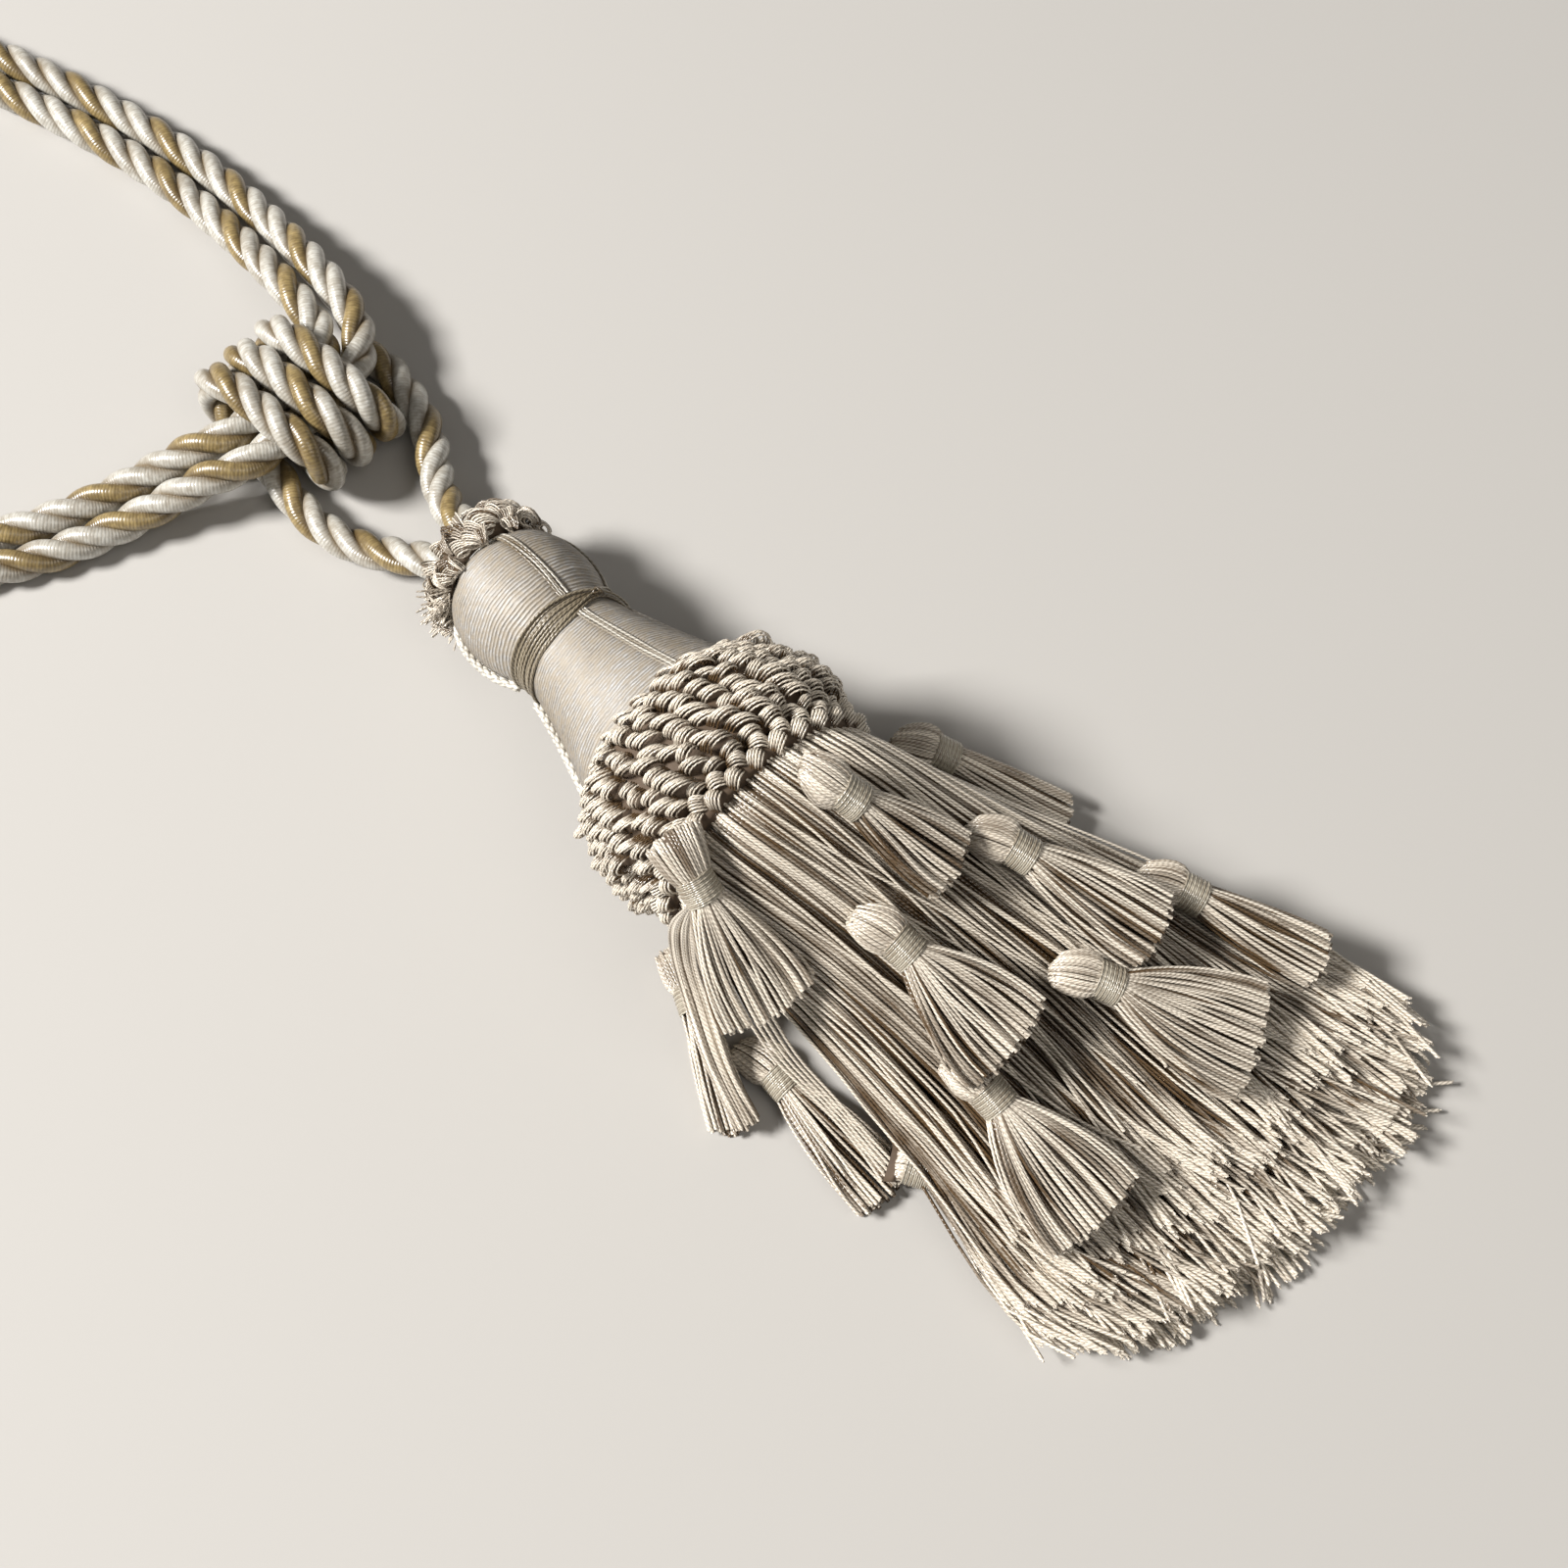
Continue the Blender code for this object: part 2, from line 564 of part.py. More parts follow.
def wrap_point(turns):
    """The rope's middle after so many turns round the two core ropes, from under them and -X first."""
    half_flat = ROPE_SPACING / 2
    quarter = turns % 1.0 * 4
    y = WRAP_START_Y + WRAP_PITCH * turns
    side = -1.0 if quarter < 2.0 else 1.0
    turn = math.pi * (quarter % 2.0) / 2
    rise = -math.cos(turn) if side < 0 else math.cos(turn)
    reach = half_flat * min(1.0, 3 * math.sin(turn)) + WRAP_BULGE * math.sin(turn)
    return Vector((KNOT_X + side * reach, y, CORE_HEIGHT + ROPE_SPACING * rise))


def tassel_rope_points():
    wraps = [wrap_point(k / WRAP_POINTS) for k in range(WRAPS * WRAP_POINTS)]
    return [Vector(p) for p in LEG_OUT] + wraps + [Vector(p) for p in LEG_BACK]


def beside(points, shift):
    """The route of one rope of the pair, beside the middle of the two."""
    sideways = []
    for k, point in enumerate(points):
        ahead = points[min(k + 1, len(points) - 1)] - points[max(k - 1, 0)]
        left = Vector((-ahead.y, ahead.x, 0.0)).normalized()
        sideways.append(point + left * shift)
    return sideways


def hook_loop(points):
    """The turn at an arm's end, from its right rope round to its left one."""
    ahead = (points[-1] - points[-2]).normalized()
    left = Vector((-ahead.y, ahead.x, 0.0))
    tip = points[-1]
    turn = [tip + ahead * EYE_SHOULDER - left * EYE_SHOULDER_HALF_WIDTH]
    for angle in (-60, -20, 20, 60):
        spread = math.radians(angle)
        turn.append(
            tip + ahead * (EYE_LENGTH - EYE_RADIUS + EYE_RADIUS * math.cos(spread))
            + left * EYE_RADIUS * math.sin(spread)
        )
    turn.append(tip + ahead * EYE_SHOULDER + left * EYE_SHOULDER_HALF_WIDTH)
    return turn


def embrace_rope_points():
    """Out along the upper arm and back, through the knot, out along the lower arm and back."""
    half = ROPE_SPACING / 2
    upper = [Vector(p) for p in UPPER_ARM]
    lower = [Vector(p) for p in LOWER_ARM]
    start = [Vector((KNOT_X - half, 0.4, CORE_HEIGHT))]
    finish = [Vector((KNOT_X - half, -0.4, CORE_HEIGHT))]
    out = beside(upper, half)
    back = beside(upper, -half)[::-1]
    through = beside(lower, half)
    home = beside(lower, -half)[::-1]
    upper_loop = hook_loop(upper)[::-1]
    lower_loop = hook_loop(lower)[::-1]
    return start + out + upper_loop + back + through + lower_loop + home + finish


def make_ropes():
    step = ROPE_LAY / 8
    rope = twisted_rope(smooth_route(tassel_rope_points(), step), step)
    add_part("tassel_rope", rope, ROPE_IVORY, 0.35)
    step = ROPE_LAY / 6
    rope = twisted_rope(smooth_route(embrace_rope_points(), step), step)
    add_part("embrace_rope", rope, ROPE_IVORY, 0.35)


clear_scene()
make_mould()
make_ruff()
make_neck_binding()
make_side_cords()
make_collar()
make_braid()
make_skirt()
make_small_tassels()
make_ropes()
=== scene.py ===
import math

import bmesh
import bpy
import numpy as np
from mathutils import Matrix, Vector


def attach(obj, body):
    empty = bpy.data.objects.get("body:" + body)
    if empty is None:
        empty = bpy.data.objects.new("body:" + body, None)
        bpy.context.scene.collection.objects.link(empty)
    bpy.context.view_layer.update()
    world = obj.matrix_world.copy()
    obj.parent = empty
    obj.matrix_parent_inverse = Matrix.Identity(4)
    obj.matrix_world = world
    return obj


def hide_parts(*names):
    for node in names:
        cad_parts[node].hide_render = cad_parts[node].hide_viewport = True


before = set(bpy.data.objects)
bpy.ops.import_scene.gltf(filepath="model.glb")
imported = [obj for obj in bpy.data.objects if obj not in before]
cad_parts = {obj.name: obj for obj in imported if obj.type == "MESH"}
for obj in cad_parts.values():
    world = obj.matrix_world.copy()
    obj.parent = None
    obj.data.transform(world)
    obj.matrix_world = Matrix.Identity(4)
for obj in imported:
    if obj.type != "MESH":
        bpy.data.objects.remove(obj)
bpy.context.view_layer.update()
scene = bpy.context.scene

# ---- the camera ----------------------------------------------------------------------------------
# It looks down at the tassel from its skirt's left, 70 degrees above the table, with the head up and to
# the left and the skirt down and to the right.
CAMERA_PLACE = (0.0626, -0.0867, 0.3459)
CAMERA_AIM = (-0.0249, 0.0039, 0.0)

camera = bpy.data.objects.new("camera", bpy.data.cameras.new("camera"))
camera.data.lens = 42.75
camera.data.sensor_width = 36.0
camera.data.clip_start = 0.01
camera.location = CAMERA_PLACE
camera.rotation_euler = (Vector(CAMERA_AIM) - camera.location).to_track_quat("-Z", "Y").to_euler()
scene.collection.objects.link(camera)
scene.camera = camera

# ---- the two ropes -------------------------------------------------------------------------------
# Three satin-wound strands, two ivory and one gold, laid up right handed. One rope is wound from the
# head round the doubled embrace rope and back; the embrace ends in a plain hook loop at each side.
# All sizes below are in millimetres, and places are taken from the middle of the mould's neck.
FOOTPRINT_MIDDLE = (68.3, 8.6)    # where the origin is
ROPE_RADIUS = 3.75
ROPE_LAY = 23.4
ROPE_SPACING = 2 * ROPE_RADIUS + 0.3
STRAND_RADIUS = 1.98              # a little more than would just touch: the strands press flat together
STRAND_CENTRE = ROPE_RADIUS - STRAND_RADIUS
STRAND_STEP = 1.0
STRAND_SIDES = 18
REST = ROPE_RADIUS + 0.1          # the middle of a rope that lies on the table
CORE_HEIGHT = REST + ROPE_SPACING
KNOT_X = -83.55
WRAP_START_Y = -12.0
WRAP_PITCH = ROPE_SPACING + 0.1
WRAPS = 3
WRAP_POINTS = 16
WRAP_BULGE = 12.0
HOOK_LOOP_RADIUS = 8.5
HOOK_LOOP_LENGTH = 22.0
HOOK_LOOP_SHOULDER = 9.0
HOOK_LOOP_SHOULDER_HALF_WIDTH = 7.0
ROUTE_FINENESS = 12               # steps between two points of a route, before it is divided evenly

# deep: painted shade in the grooves between strands, and the flecks; groove: painted shade between threads
IVORY_SATIN = ((0.67, 0.665, 0.62), (0.17, 0.125, 0.07), (0.28, 0.24, 0.18))    # pale, deep, groove
GOLD_SATIN = ((0.40, 0.30, 0.135), (0.08, 0.05, 0.018), (0.13, 0.085, 0.03))
SATIN_PITCH = 0.6
SATIN_ROUGHNESS = 0.32
SATIN_RELIEF = 0.3
SATIN_FLECK_SIZE = (0.0016, 1.3)  # finer round the strand than along it

# how far along the rope, and how far round its strands lie there in turns
TASSEL_ROPE_SLIPS = [
    (0, 0.27), (48, 0.27), (92, 0.05), (113, 0.11), (183, 0.27), (257, 0.25), (280, 0.45), (335, 0.41),
    (355, 0.6),
]
EMBRACE_ROPE_SLIPS = [(121, 0.10), (371, 0.55), (487, 0.45), (558, 0.40), (579, 0.45), (932, 0.63)]
# distance from the rope's middle, and the painted shade there: darker in the grooves between strands
STRAND_PAINTED_SHADES = [(2.2, -1.1), (2.8, -0.7), (3.3, 0.15), (3.75, 0.5)]

LEG_OUT = [
    (-26.9, -3.2, 13.4), (-31.5, -3.5, 13.0), (-38.0, -5.9, 11.6), (-45.0, -8.8, 8.4),
    (-52.5, -11.8, 5.4), (-60.5, -13.9, 4.2), (-68.0, -14.3, REST), (-76.0, -13.2, REST),
]
LEG_BACK = [
    (-84.6, 12.5, REST), (-87.9, 14.4, REST), (-88.5, 17.4, REST), (-86.2, 19.9, REST),
    (-82.0, 20.5, REST), (-76.0, 19.7, 4.2), (-70.4, 18.4, 4.8), (-64.6, 16.4, 5.6), (-59.4, 13.6, 6.2),
    (-54.8, 10.4, 6.4), (-49.6, 7.6, 6.8), (-44.0, 5.6, 8.3), (-37.6, 5.0, 10.8),
    (-31.5, 5.1, 12.7), (-26.9, 5.2, 13.4),
]
UPPER_ARM = [
    (KNOT_X, 5.0, CORE_HEIGHT), (KNOT_X - 0.5, 9.6, CORE_HEIGHT), (-87.0, 14.4, CORE_HEIGHT),
    (-93.2, 18.2, CORE_HEIGHT), (-103.2, 20.2, CORE_HEIGHT), (-118.5, 22.0, 8.8), (-134.0, 23.0, 5.8),
    (-150.0, 22.7, 4.4), (-165.0, 20.9, REST), (-180.0, 17.8, REST), (-195.0, 13.9, REST),
    (-208.0, 9.8, REST), (-224.0, 4.0, REST), (-241.0, -3.0, REST), (-258.0, -11.0, REST),
    (-274.0, -19.5, REST), (-289.0, -28.5, REST),
]
LOWER_ARM = [
    (KNOT_X, -5.0, CORE_HEIGHT), (KNOT_X - 0.2, -11.0, CORE_HEIGHT), (-84.6, -16.5, CORE_HEIGHT),
    (-87.4, -22.4, 11.0), (-91.4, -30.4, 7.8), (-95.2, -39.4, 5.4), (-99.0, -49.2, 4.4),
    (-103.4, -58.4, REST), (-109.0, -67.5, REST), (-116.5, -77.5, REST), (-125.5, -88.0, REST),
    (-136.0, -97.3, REST), (-148.5, -104.3, REST), (-162.5, -109.3, REST), (-177.5, -112.8, REST),
    (-193.0, -114.8, REST), (-211.0, -115.4, REST), (-232.0, -114.0, REST),
]


def in_metres(points):
    """Points in millimetres from the middle of the neck, as metres in the frame."""
    return (np.asarray(points, float) - (*FOOTPRINT_MIDDLE, 0.0)) * 0.001


def smooth_route(points, step):
    """Points a step apart along a centripetal curve through the route's own points."""
    own = np.asarray(points, float)
    knots = np.vstack([2 * own[0] - own[1], own, 2 * own[-1] - own[-2]])
    fine = []
    for p0, p1, p2, p3 in zip(knots, knots[1:], knots[2:], knots[3:]):
        t1 = np.linalg.norm(p1 - p0) ** 0.5
        t2 = t1 + np.linalg.norm(p2 - p1) ** 0.5
        t3 = t2 + np.linalg.norm(p3 - p2) ** 0.5
        t = (t1 + (t2 - t1) * np.arange(ROUTE_FINENESS) / ROUTE_FINENESS)[:, None]
        a1 = p0 + (p1 - p0) * t / t1
        a2 = p1 + (p2 - p1) * (t - t1) / (t2 - t1)
        a3 = p2 + (p3 - p2) * (t - t2) / (t3 - t2)
        b1 = a1 + (a2 - a1) * t / t2
        b2 = a2 + (a3 - a2) * (t - t1) / (t3 - t1)
        fine.append(b1 + (b2 - b1) * (t - t1) / (t2 - t1))
    fine = np.vstack([*fine, own[-1:]])
    reach = np.concatenate([[0.0], np.cumsum(np.linalg.norm(np.diff(fine, axis=0), axis=1))])
    want = np.linspace(0.0, reach[-1], round(reach[-1] / step) + 1)
    return np.column_stack([np.interp(want, reach, fine[:, k]) for k in range(3)])


def wrap_point(turns):
    """The rope's middle after so many turns round the doubled rope, from under it and by -X first."""
    quarter = turns % 1.0 * 4
    side = -1.0 if quarter < 2.0 else 1.0
    turn = math.pi * (quarter % 2.0) / 2
    rise = side * math.cos(turn)
    reach = ROPE_SPACING / 2 * min(1.0, 3 * math.sin(turn)) + WRAP_BULGE * math.sin(turn)
    return (KNOT_X + side * reach, WRAP_START_Y + WRAP_PITCH * turns, CORE_HEIGHT + ROPE_SPACING * rise)


def beside(points, shift):
    """The route of one rope of the pair, beside the middle of the two."""
    own = np.asarray(points, float)
    ahead = np.gradient(own, axis=0)
    left = np.column_stack([-ahead[:, 1], ahead[:, 0], np.zeros(len(own))])
    return own + shift * left / np.linalg.norm(left, axis=1)[:, None]


def hook_loop(points):
    """The turn at an arm's end, from its left rope round to its right one."""
    own = np.asarray(points, float)
    ahead = own[-1] - own[-2]
    ahead = ahead / np.linalg.norm(ahead)
    left = np.array([-ahead[1], ahead[0], 0.0])
    shoulder = own[-1] + ahead * HOOK_LOOP_SHOULDER
    turn = [shoulder + left * HOOK_LOOP_SHOULDER_HALF_WIDTH]
    for angle in (60, 20, -20, -60):
        spread = math.radians(angle)
        reach = HOOK_LOOP_LENGTH - HOOK_LOOP_RADIUS + HOOK_LOOP_RADIUS * math.cos(spread)
        turn.append(own[-1] + ahead * reach + left * HOOK_LOOP_RADIUS * math.sin(spread))
    return np.array([*turn, shoulder - left * HOOK_LOOP_SHOULDER_HALF_WIDTH])


def strand_sweep_nodes():
    """Sweeps a round strand along every guide line, as thick as the guide says at each point.

    It stores in "lay" where each point is: round the strand in X and Y, and along it in Z.
    """
    tree = bpy.data.node_groups.new("lay_strands", "GeometryNodeTree")
    for label, kind in (("Geometry", "Geometry"), ("Sides", "Int"), ("Finish", "Material")):
        tree.interface.new_socket(label, in_out="INPUT", socket_type="NodeSocket" + kind)
    tree.interface.new_socket("Geometry", in_out="OUTPUT", socket_type="NodeSocketGeometry")
    node, link = tree.nodes.new, tree.links.new
    start, end = node("NodeGroupInput"), node("NodeGroupOutput")
    curve = node("GeometryNodeMeshToCurve")
    link(start.outputs["Geometry"], curve.inputs["Mesh"])
    thick = node("GeometryNodeInputNamedAttribute")
    thick.data_type = "FLOAT"
    thick.inputs["Name"].default_value = "thick"
    keep_along = node("GeometryNodeCaptureAttribute")
    keep_along.capture_items.new("FLOAT", "along")
    link(curve.outputs["Curve"], keep_along.inputs["Geometry"])
    link(node("GeometryNodeSplineParameter").outputs["Length"], keep_along.inputs["along"])
    ring = node("GeometryNodeCurvePrimitiveCircle")
    ring.inputs["Radius"].default_value = 1.0
    link(start.outputs["Sides"], ring.inputs["Resolution"])
    keep_ring = node("GeometryNodeCaptureAttribute")
    keep_ring.capture_items.new("VECTOR", "round")
    link(ring.outputs["Curve"], keep_ring.inputs["Geometry"])
    link(node("GeometryNodeInputPosition").outputs["Position"], keep_ring.inputs["round"])
    sweep = node("GeometryNodeCurveToMesh")
    sweep.inputs["Fill Caps"].default_value = True
    link(keep_along.outputs["Geometry"], sweep.inputs["Curve"])
    link(keep_ring.outputs["Geometry"], sweep.inputs["Profile Curve"])
    link(thick.outputs["Attribute"], sweep.inputs["Scale"])
    parts, place = node("ShaderNodeSeparateXYZ"), node("ShaderNodeCombineXYZ")
    link(keep_ring.outputs["round"], parts.inputs[0])
    link(parts.outputs["X"], place.inputs["X"])
    link(parts.outputs["Y"], place.inputs["Y"])
    link(keep_along.outputs["along"], place.inputs["Z"])
    store = node("GeometryNodeStoreNamedAttribute")
    store.data_type, store.domain = "FLOAT_VECTOR", "POINT"
    store.inputs["Name"].default_value = "lay"
    link(sweep.outputs["Mesh"], store.inputs["Geometry"])
    link(place.outputs["Vector"], store.inputs["Value"])
    real, coat = node("GeometryNodeRealizeInstances"), node("GeometryNodeSetMaterial")
    link(store.outputs["Geometry"], real.inputs["Geometry"])
    link(real.outputs["Geometry"], coat.inputs["Geometry"])
    link(start.outputs["Finish"], coat.inputs["Material"])
    link(coat.outputs["Geometry"], end.inputs["Geometry"])
    return tree


lay_strands = strand_sweep_nodes()


def sweep_strands(name, guides, thick, finish, sides=5, shades=None):
    """One closed mesh of round strands along the guides.

    Every guide has its own thickness and shade, which are one number or one for each of its points.
    """
    counts = [len(g) for g in guides]
    points = in_metres(np.vstack(guides))
    first = np.concatenate([[0], np.cumsum(counts)])
    edges = np.vstack([
        np.column_stack([np.arange(a, a + n - 1), np.arange(a + 1, a + n)]) for a, n in zip(first, counts)
    ])
    guide = bpy.data.meshes.new(name + "_guides")
    guide.from_pydata(points.tolist(), edges.tolist(), [])
    for label, own, unit in (
        ("thick", thick, 0.001), ("shade", shades or [0.0] * len(counts), 1.0),
        ("start", np.random.default_rng(7).random(len(counts)), 1.0),
    ):
        values = np.concatenate([np.broadcast_to(v, n) for v, n in zip(own, counts)]) * unit
        guide.attributes.new(label, "FLOAT", "POINT").data.foreach_set("value", values.astype(np.float32))
    piece = bpy.data.objects.new(name, guide)
    scene.collection.objects.link(piece)
    nodes = piece.modifiers.new("strands", "NODES")
    nodes.node_group = lay_strands
    socket = {s.name: s.identifier for s in lay_strands.interface.items_tree if s.in_out == "INPUT"}
    nodes[socket["Sides"]] = sides
    nodes[socket["Finish"]] = finish
    swept = bpy.data.meshes.new_from_object(piece.evaluated_get(bpy.context.evaluated_depsgraph_get()))
    piece.modifiers.clear()
    piece.data = swept
    swept.name = name
    swept.shade_smooth()
    return piece


def finish_group(name, inputs, outputs):
    """An empty group of shader nodes with these sockets, and the makers of its nodes and links."""
    group = bpy.data.node_groups.new(name, "ShaderNodeTree")
    for label, kind, default in inputs:
        socket = group.interface.new_socket(label, in_out="INPUT", socket_type="NodeSocket" + kind)
        socket.default_value = default
    for label in outputs:
        group.interface.new_socket(label, in_out="OUTPUT", socket_type="NodeSocketFloat")
    return group, group.nodes.new, group.links.new


def own_attribute(node, name):
    """The node that reads a strand's own attribute."""
    read = node("ShaderNodeAttribute")
    read.attribute_name = name
    return read


def noise(node, scale, detail):
    """A noise texture that waits for its vector."""
    texture = node("ShaderNodeTexNoise")
    texture.inputs["Scale"].default_value = scale
    texture.inputs["Detail"].default_value = detail
    return texture


def stripes_group():
    """The threads of a strand: stripes that run round it at a slant, from 0 in a groove to 1 on a thread."""
    group, node, link = finish_group("strand_stripes", (
        ("Pitch", "Float", 0.001), ("Starts", "Float", 1.0), ("Waver", "Float", 0.3),
        ("Sharpness", "Float", 1.0),
    ), ("Stripe",))
    start, end = node("NodeGroupInput"), node("NodeGroupOutput")

    def maths(operation, a, b=None):
        step = node("ShaderNodeMath")
        step.operation = operation
        for k, value in enumerate((a, b)):
            if isinstance(value, (int, float)):
                step.inputs[k].default_value = value
            elif value is not None:
                link(value, step.inputs[k])
        return step.outputs[0]

    parts = node("ShaderNodeSeparateXYZ")
    link(own_attribute(node, "lay").outputs["Vector"], parts.inputs[0])
    turn = maths("ARCTAN2", parts.outputs["Y"], parts.outputs["X"])
    waver = noise(node, 900.0, 1.0)
    link(node("ShaderNodeTexCoord").outputs["Object"], waver.inputs["Vector"])
    drift = maths("MULTIPLY", maths("SUBTRACT", waver.outputs["Fac"], 0.5), start.outputs["Waver"])
    along = maths("ADD", maths("DIVIDE", parts.outputs["Z"], start.outputs["Pitch"]), drift)
    along = maths("ADD", along, own_attribute(node, "start").outputs["Fac"])
    round_it = maths("MULTIPLY", turn, start.outputs["Starts"])
    phase = maths("ADD", maths("MULTIPLY", along, math.tau), round_it)
    wave = maths("ADD", maths("MULTIPLY", maths("SINE", phase), 0.5), 0.5)
    link(maths("POWER", wave, start.outputs["Sharpness"]), end.inputs["Stripe"])
    return group


def tone_group():
    """How pale a strand is, from 0 to 1: its own shade, and a soft cloud over all of them."""
    group, node, link = finish_group("strand_tone", (
        ("Cloud Scale", "Float", 90.0), ("Shade Weight", "Float", 0.45),
    ), ("Tone",))
    start, end = node("NodeGroupInput"), node("NodeGroupOutput")
    cloud = noise(node, 90.0, 4.0)
    link(start.outputs["Cloud Scale"], cloud.inputs["Scale"])
    link(node("ShaderNodeTexCoord").outputs["Object"], cloud.inputs["Vector"])
    both = node("ShaderNodeMath")
    both.operation = "MULTIPLY_ADD"
    link(own_attribute(node, "shade").outputs["Fac"], both.inputs[0])
    link(start.outputs["Shade Weight"], both.inputs[1])
    link(cloud.outputs["Fac"], both.inputs[2])
    level = node("ShaderNodeMapRange")
    level.inputs["From Min"].default_value = 0.05
    level.inputs["From Max"].default_value = 0.80
    link(both.outputs[0], level.inputs["Value"])
    link(level.outputs["Result"], end.inputs["Tone"])
    return group


def flecks_group():
    """Broken streaks along a strand: a mask from the least value up to 1, and their height."""
    group, node, link = finish_group("strand_flecks", (
        ("Size", "Vector", (0.01, 0.01, 1.0)), ("Least", "Float", 0.5),
    ), ("Mask", "Height"))
    start, end = node("NodeGroupInput"), node("NodeGroupOutput")
    stretch = node("ShaderNodeVectorMath")
    stretch.operation = "MULTIPLY"
    link(own_attribute(node, "lay").outputs["Vector"], stretch.inputs[0])
    link(start.outputs["Size"], stretch.inputs[1])
    fleck = noise(node, 800.0, 3.0)
    link(stretch.outputs["Vector"], fleck.inputs["Vector"])
    spread = node("ShaderNodeMapRange")
    spread.inputs["From Min"].default_value = 0.38
    spread.inputs["From Max"].default_value = 0.62
    link(start.outputs["Least"], spread.inputs["To Min"])
    link(fleck.outputs["Fac"], spread.inputs["Value"])
    link(spread.outputs["Result"], end.inputs["Mask"])
    link(fleck.outputs["Fac"], end.inputs["Height"])
    return group


strand_stripes, strand_tone, strand_flecks = stripes_group(), tone_group(), flecks_group()
MIX_FACTOR, MIX_A, MIX_B, MIX_RESULT = 0, 6, 7, 2     # a mix node's sockets when it mixes colours


def strand_finish(name, pale, deep, groove_shade, pitch, starts, depth, roughness, sheen=0.08, relief=0.6,
                  sharpness=0.6, flecks=0.0, fleck_size=None):
    """A silky strand. Its colour runs from deep to pale as its shade says, which holds its own tone and
    painted shade, and to groove_shade, a painted shade, between its threads.

    Pitch and starts say how its threads are laid, depth how dark the painted shade in their grooves is,
    and flecks how much of its gloss is broken up, in streaks of fleck_size round it and along it.
    """
    material = bpy.data.materials.new(name)
    material.use_nodes = True
    node, link = material.node_tree.nodes.new, material.node_tree.links.new
    shader = material.node_tree.nodes["Principled BSDF"]

    def effect(group, **values):
        placed = node("ShaderNodeGroup")
        placed.node_tree = group
        for label, value in values.items():
            placed.inputs[label].default_value = value
        return placed

    def blend(amount, low, high):
        step = node("ShaderNodeMix")
        step.data_type = "RGBA"
        link(amount, step.inputs[MIX_FACTOR])
        for socket, value in ((MIX_A, low), (MIX_B, high)):
            if isinstance(value, tuple):
                step.inputs[socket].default_value = (*value, 1.0)
            else:
                link(value, step.inputs[socket])
        return step.outputs[MIX_RESULT]

    def bump(height, strength, distance, under=None):
        step = node("ShaderNodeBump")
        step.inputs["Strength"].default_value = strength
        step.inputs["Distance"].default_value = distance
        link(height, step.inputs["Height"])
        if under:
            link(under, step.inputs["Normal"])
        return step.outputs["Normal"]

    threads = effect(strand_stripes, Pitch=pitch * 0.001, Starts=starts, Waver=0.35, Sharpness=sharpness)
    # Painted shade: the colour goes to groove_shade in the grooves between the threads.
    groove_shade_mask = node("ShaderNodeMapRange")
    groove_shade_mask.inputs["To Min"].default_value = 1.0 - depth
    link(threads.outputs["Stripe"], groove_shade_mask.inputs["Value"])
    colour = blend(effect(strand_tone).outputs["Tone"], deep, pale)
    colour = blend(groove_shade_mask.outputs["Result"], groove_shade, colour)
    normal = bump(threads.outputs["Stripe"], relief, 0.00012)
    if flecks:
        across, lengthwise = fleck_size
        streaks = effect(strand_flecks, Size=(across, across, lengthwise), Least=1.0 - flecks)
        colour = blend(streaks.outputs["Mask"], deep, colour)
        normal = bump(streaks.outputs["Height"], 0.4, 0.0001, normal)
    link(colour, shader.inputs["Base Color"])
    link(normal, shader.inputs["Normal"])
    shader.inputs["Roughness"].default_value = roughness
    shader.inputs["Specular IOR Level"].default_value = 1.0
    shader.inputs["Sheen Weight"].default_value = sheen
    shader.inputs["Sheen Roughness"].default_value = 0.4
    shader.inputs["Sheen Tint"].default_value = (*pale, 1.0)
    return material


ivory_strand = strand_finish("rope_ivory_satin", *IVORY_SATIN, SATIN_PITCH, 1.0, 0.35, SATIN_ROUGHNESS,
                             relief=SATIN_RELIEF, flecks=0.4, fleck_size=SATIN_FLECK_SIZE)
gold_strand = strand_finish("rope_gold_satin", *GOLD_SATIN, SATIN_PITCH, 1.0, 0.45, SATIN_ROUGHNESS,
                            relief=SATIN_RELIEF, flecks=0.5, fleck_size=SATIN_FLECK_SIZE)


def joined(name, pieces):
    """The pieces as one object."""
    first = pieces[0]
    with bpy.context.temp_override(active_object=first, selected_editable_objects=pieces, object=first):
        bpy.ops.object.join()
    first.name = name
    return first


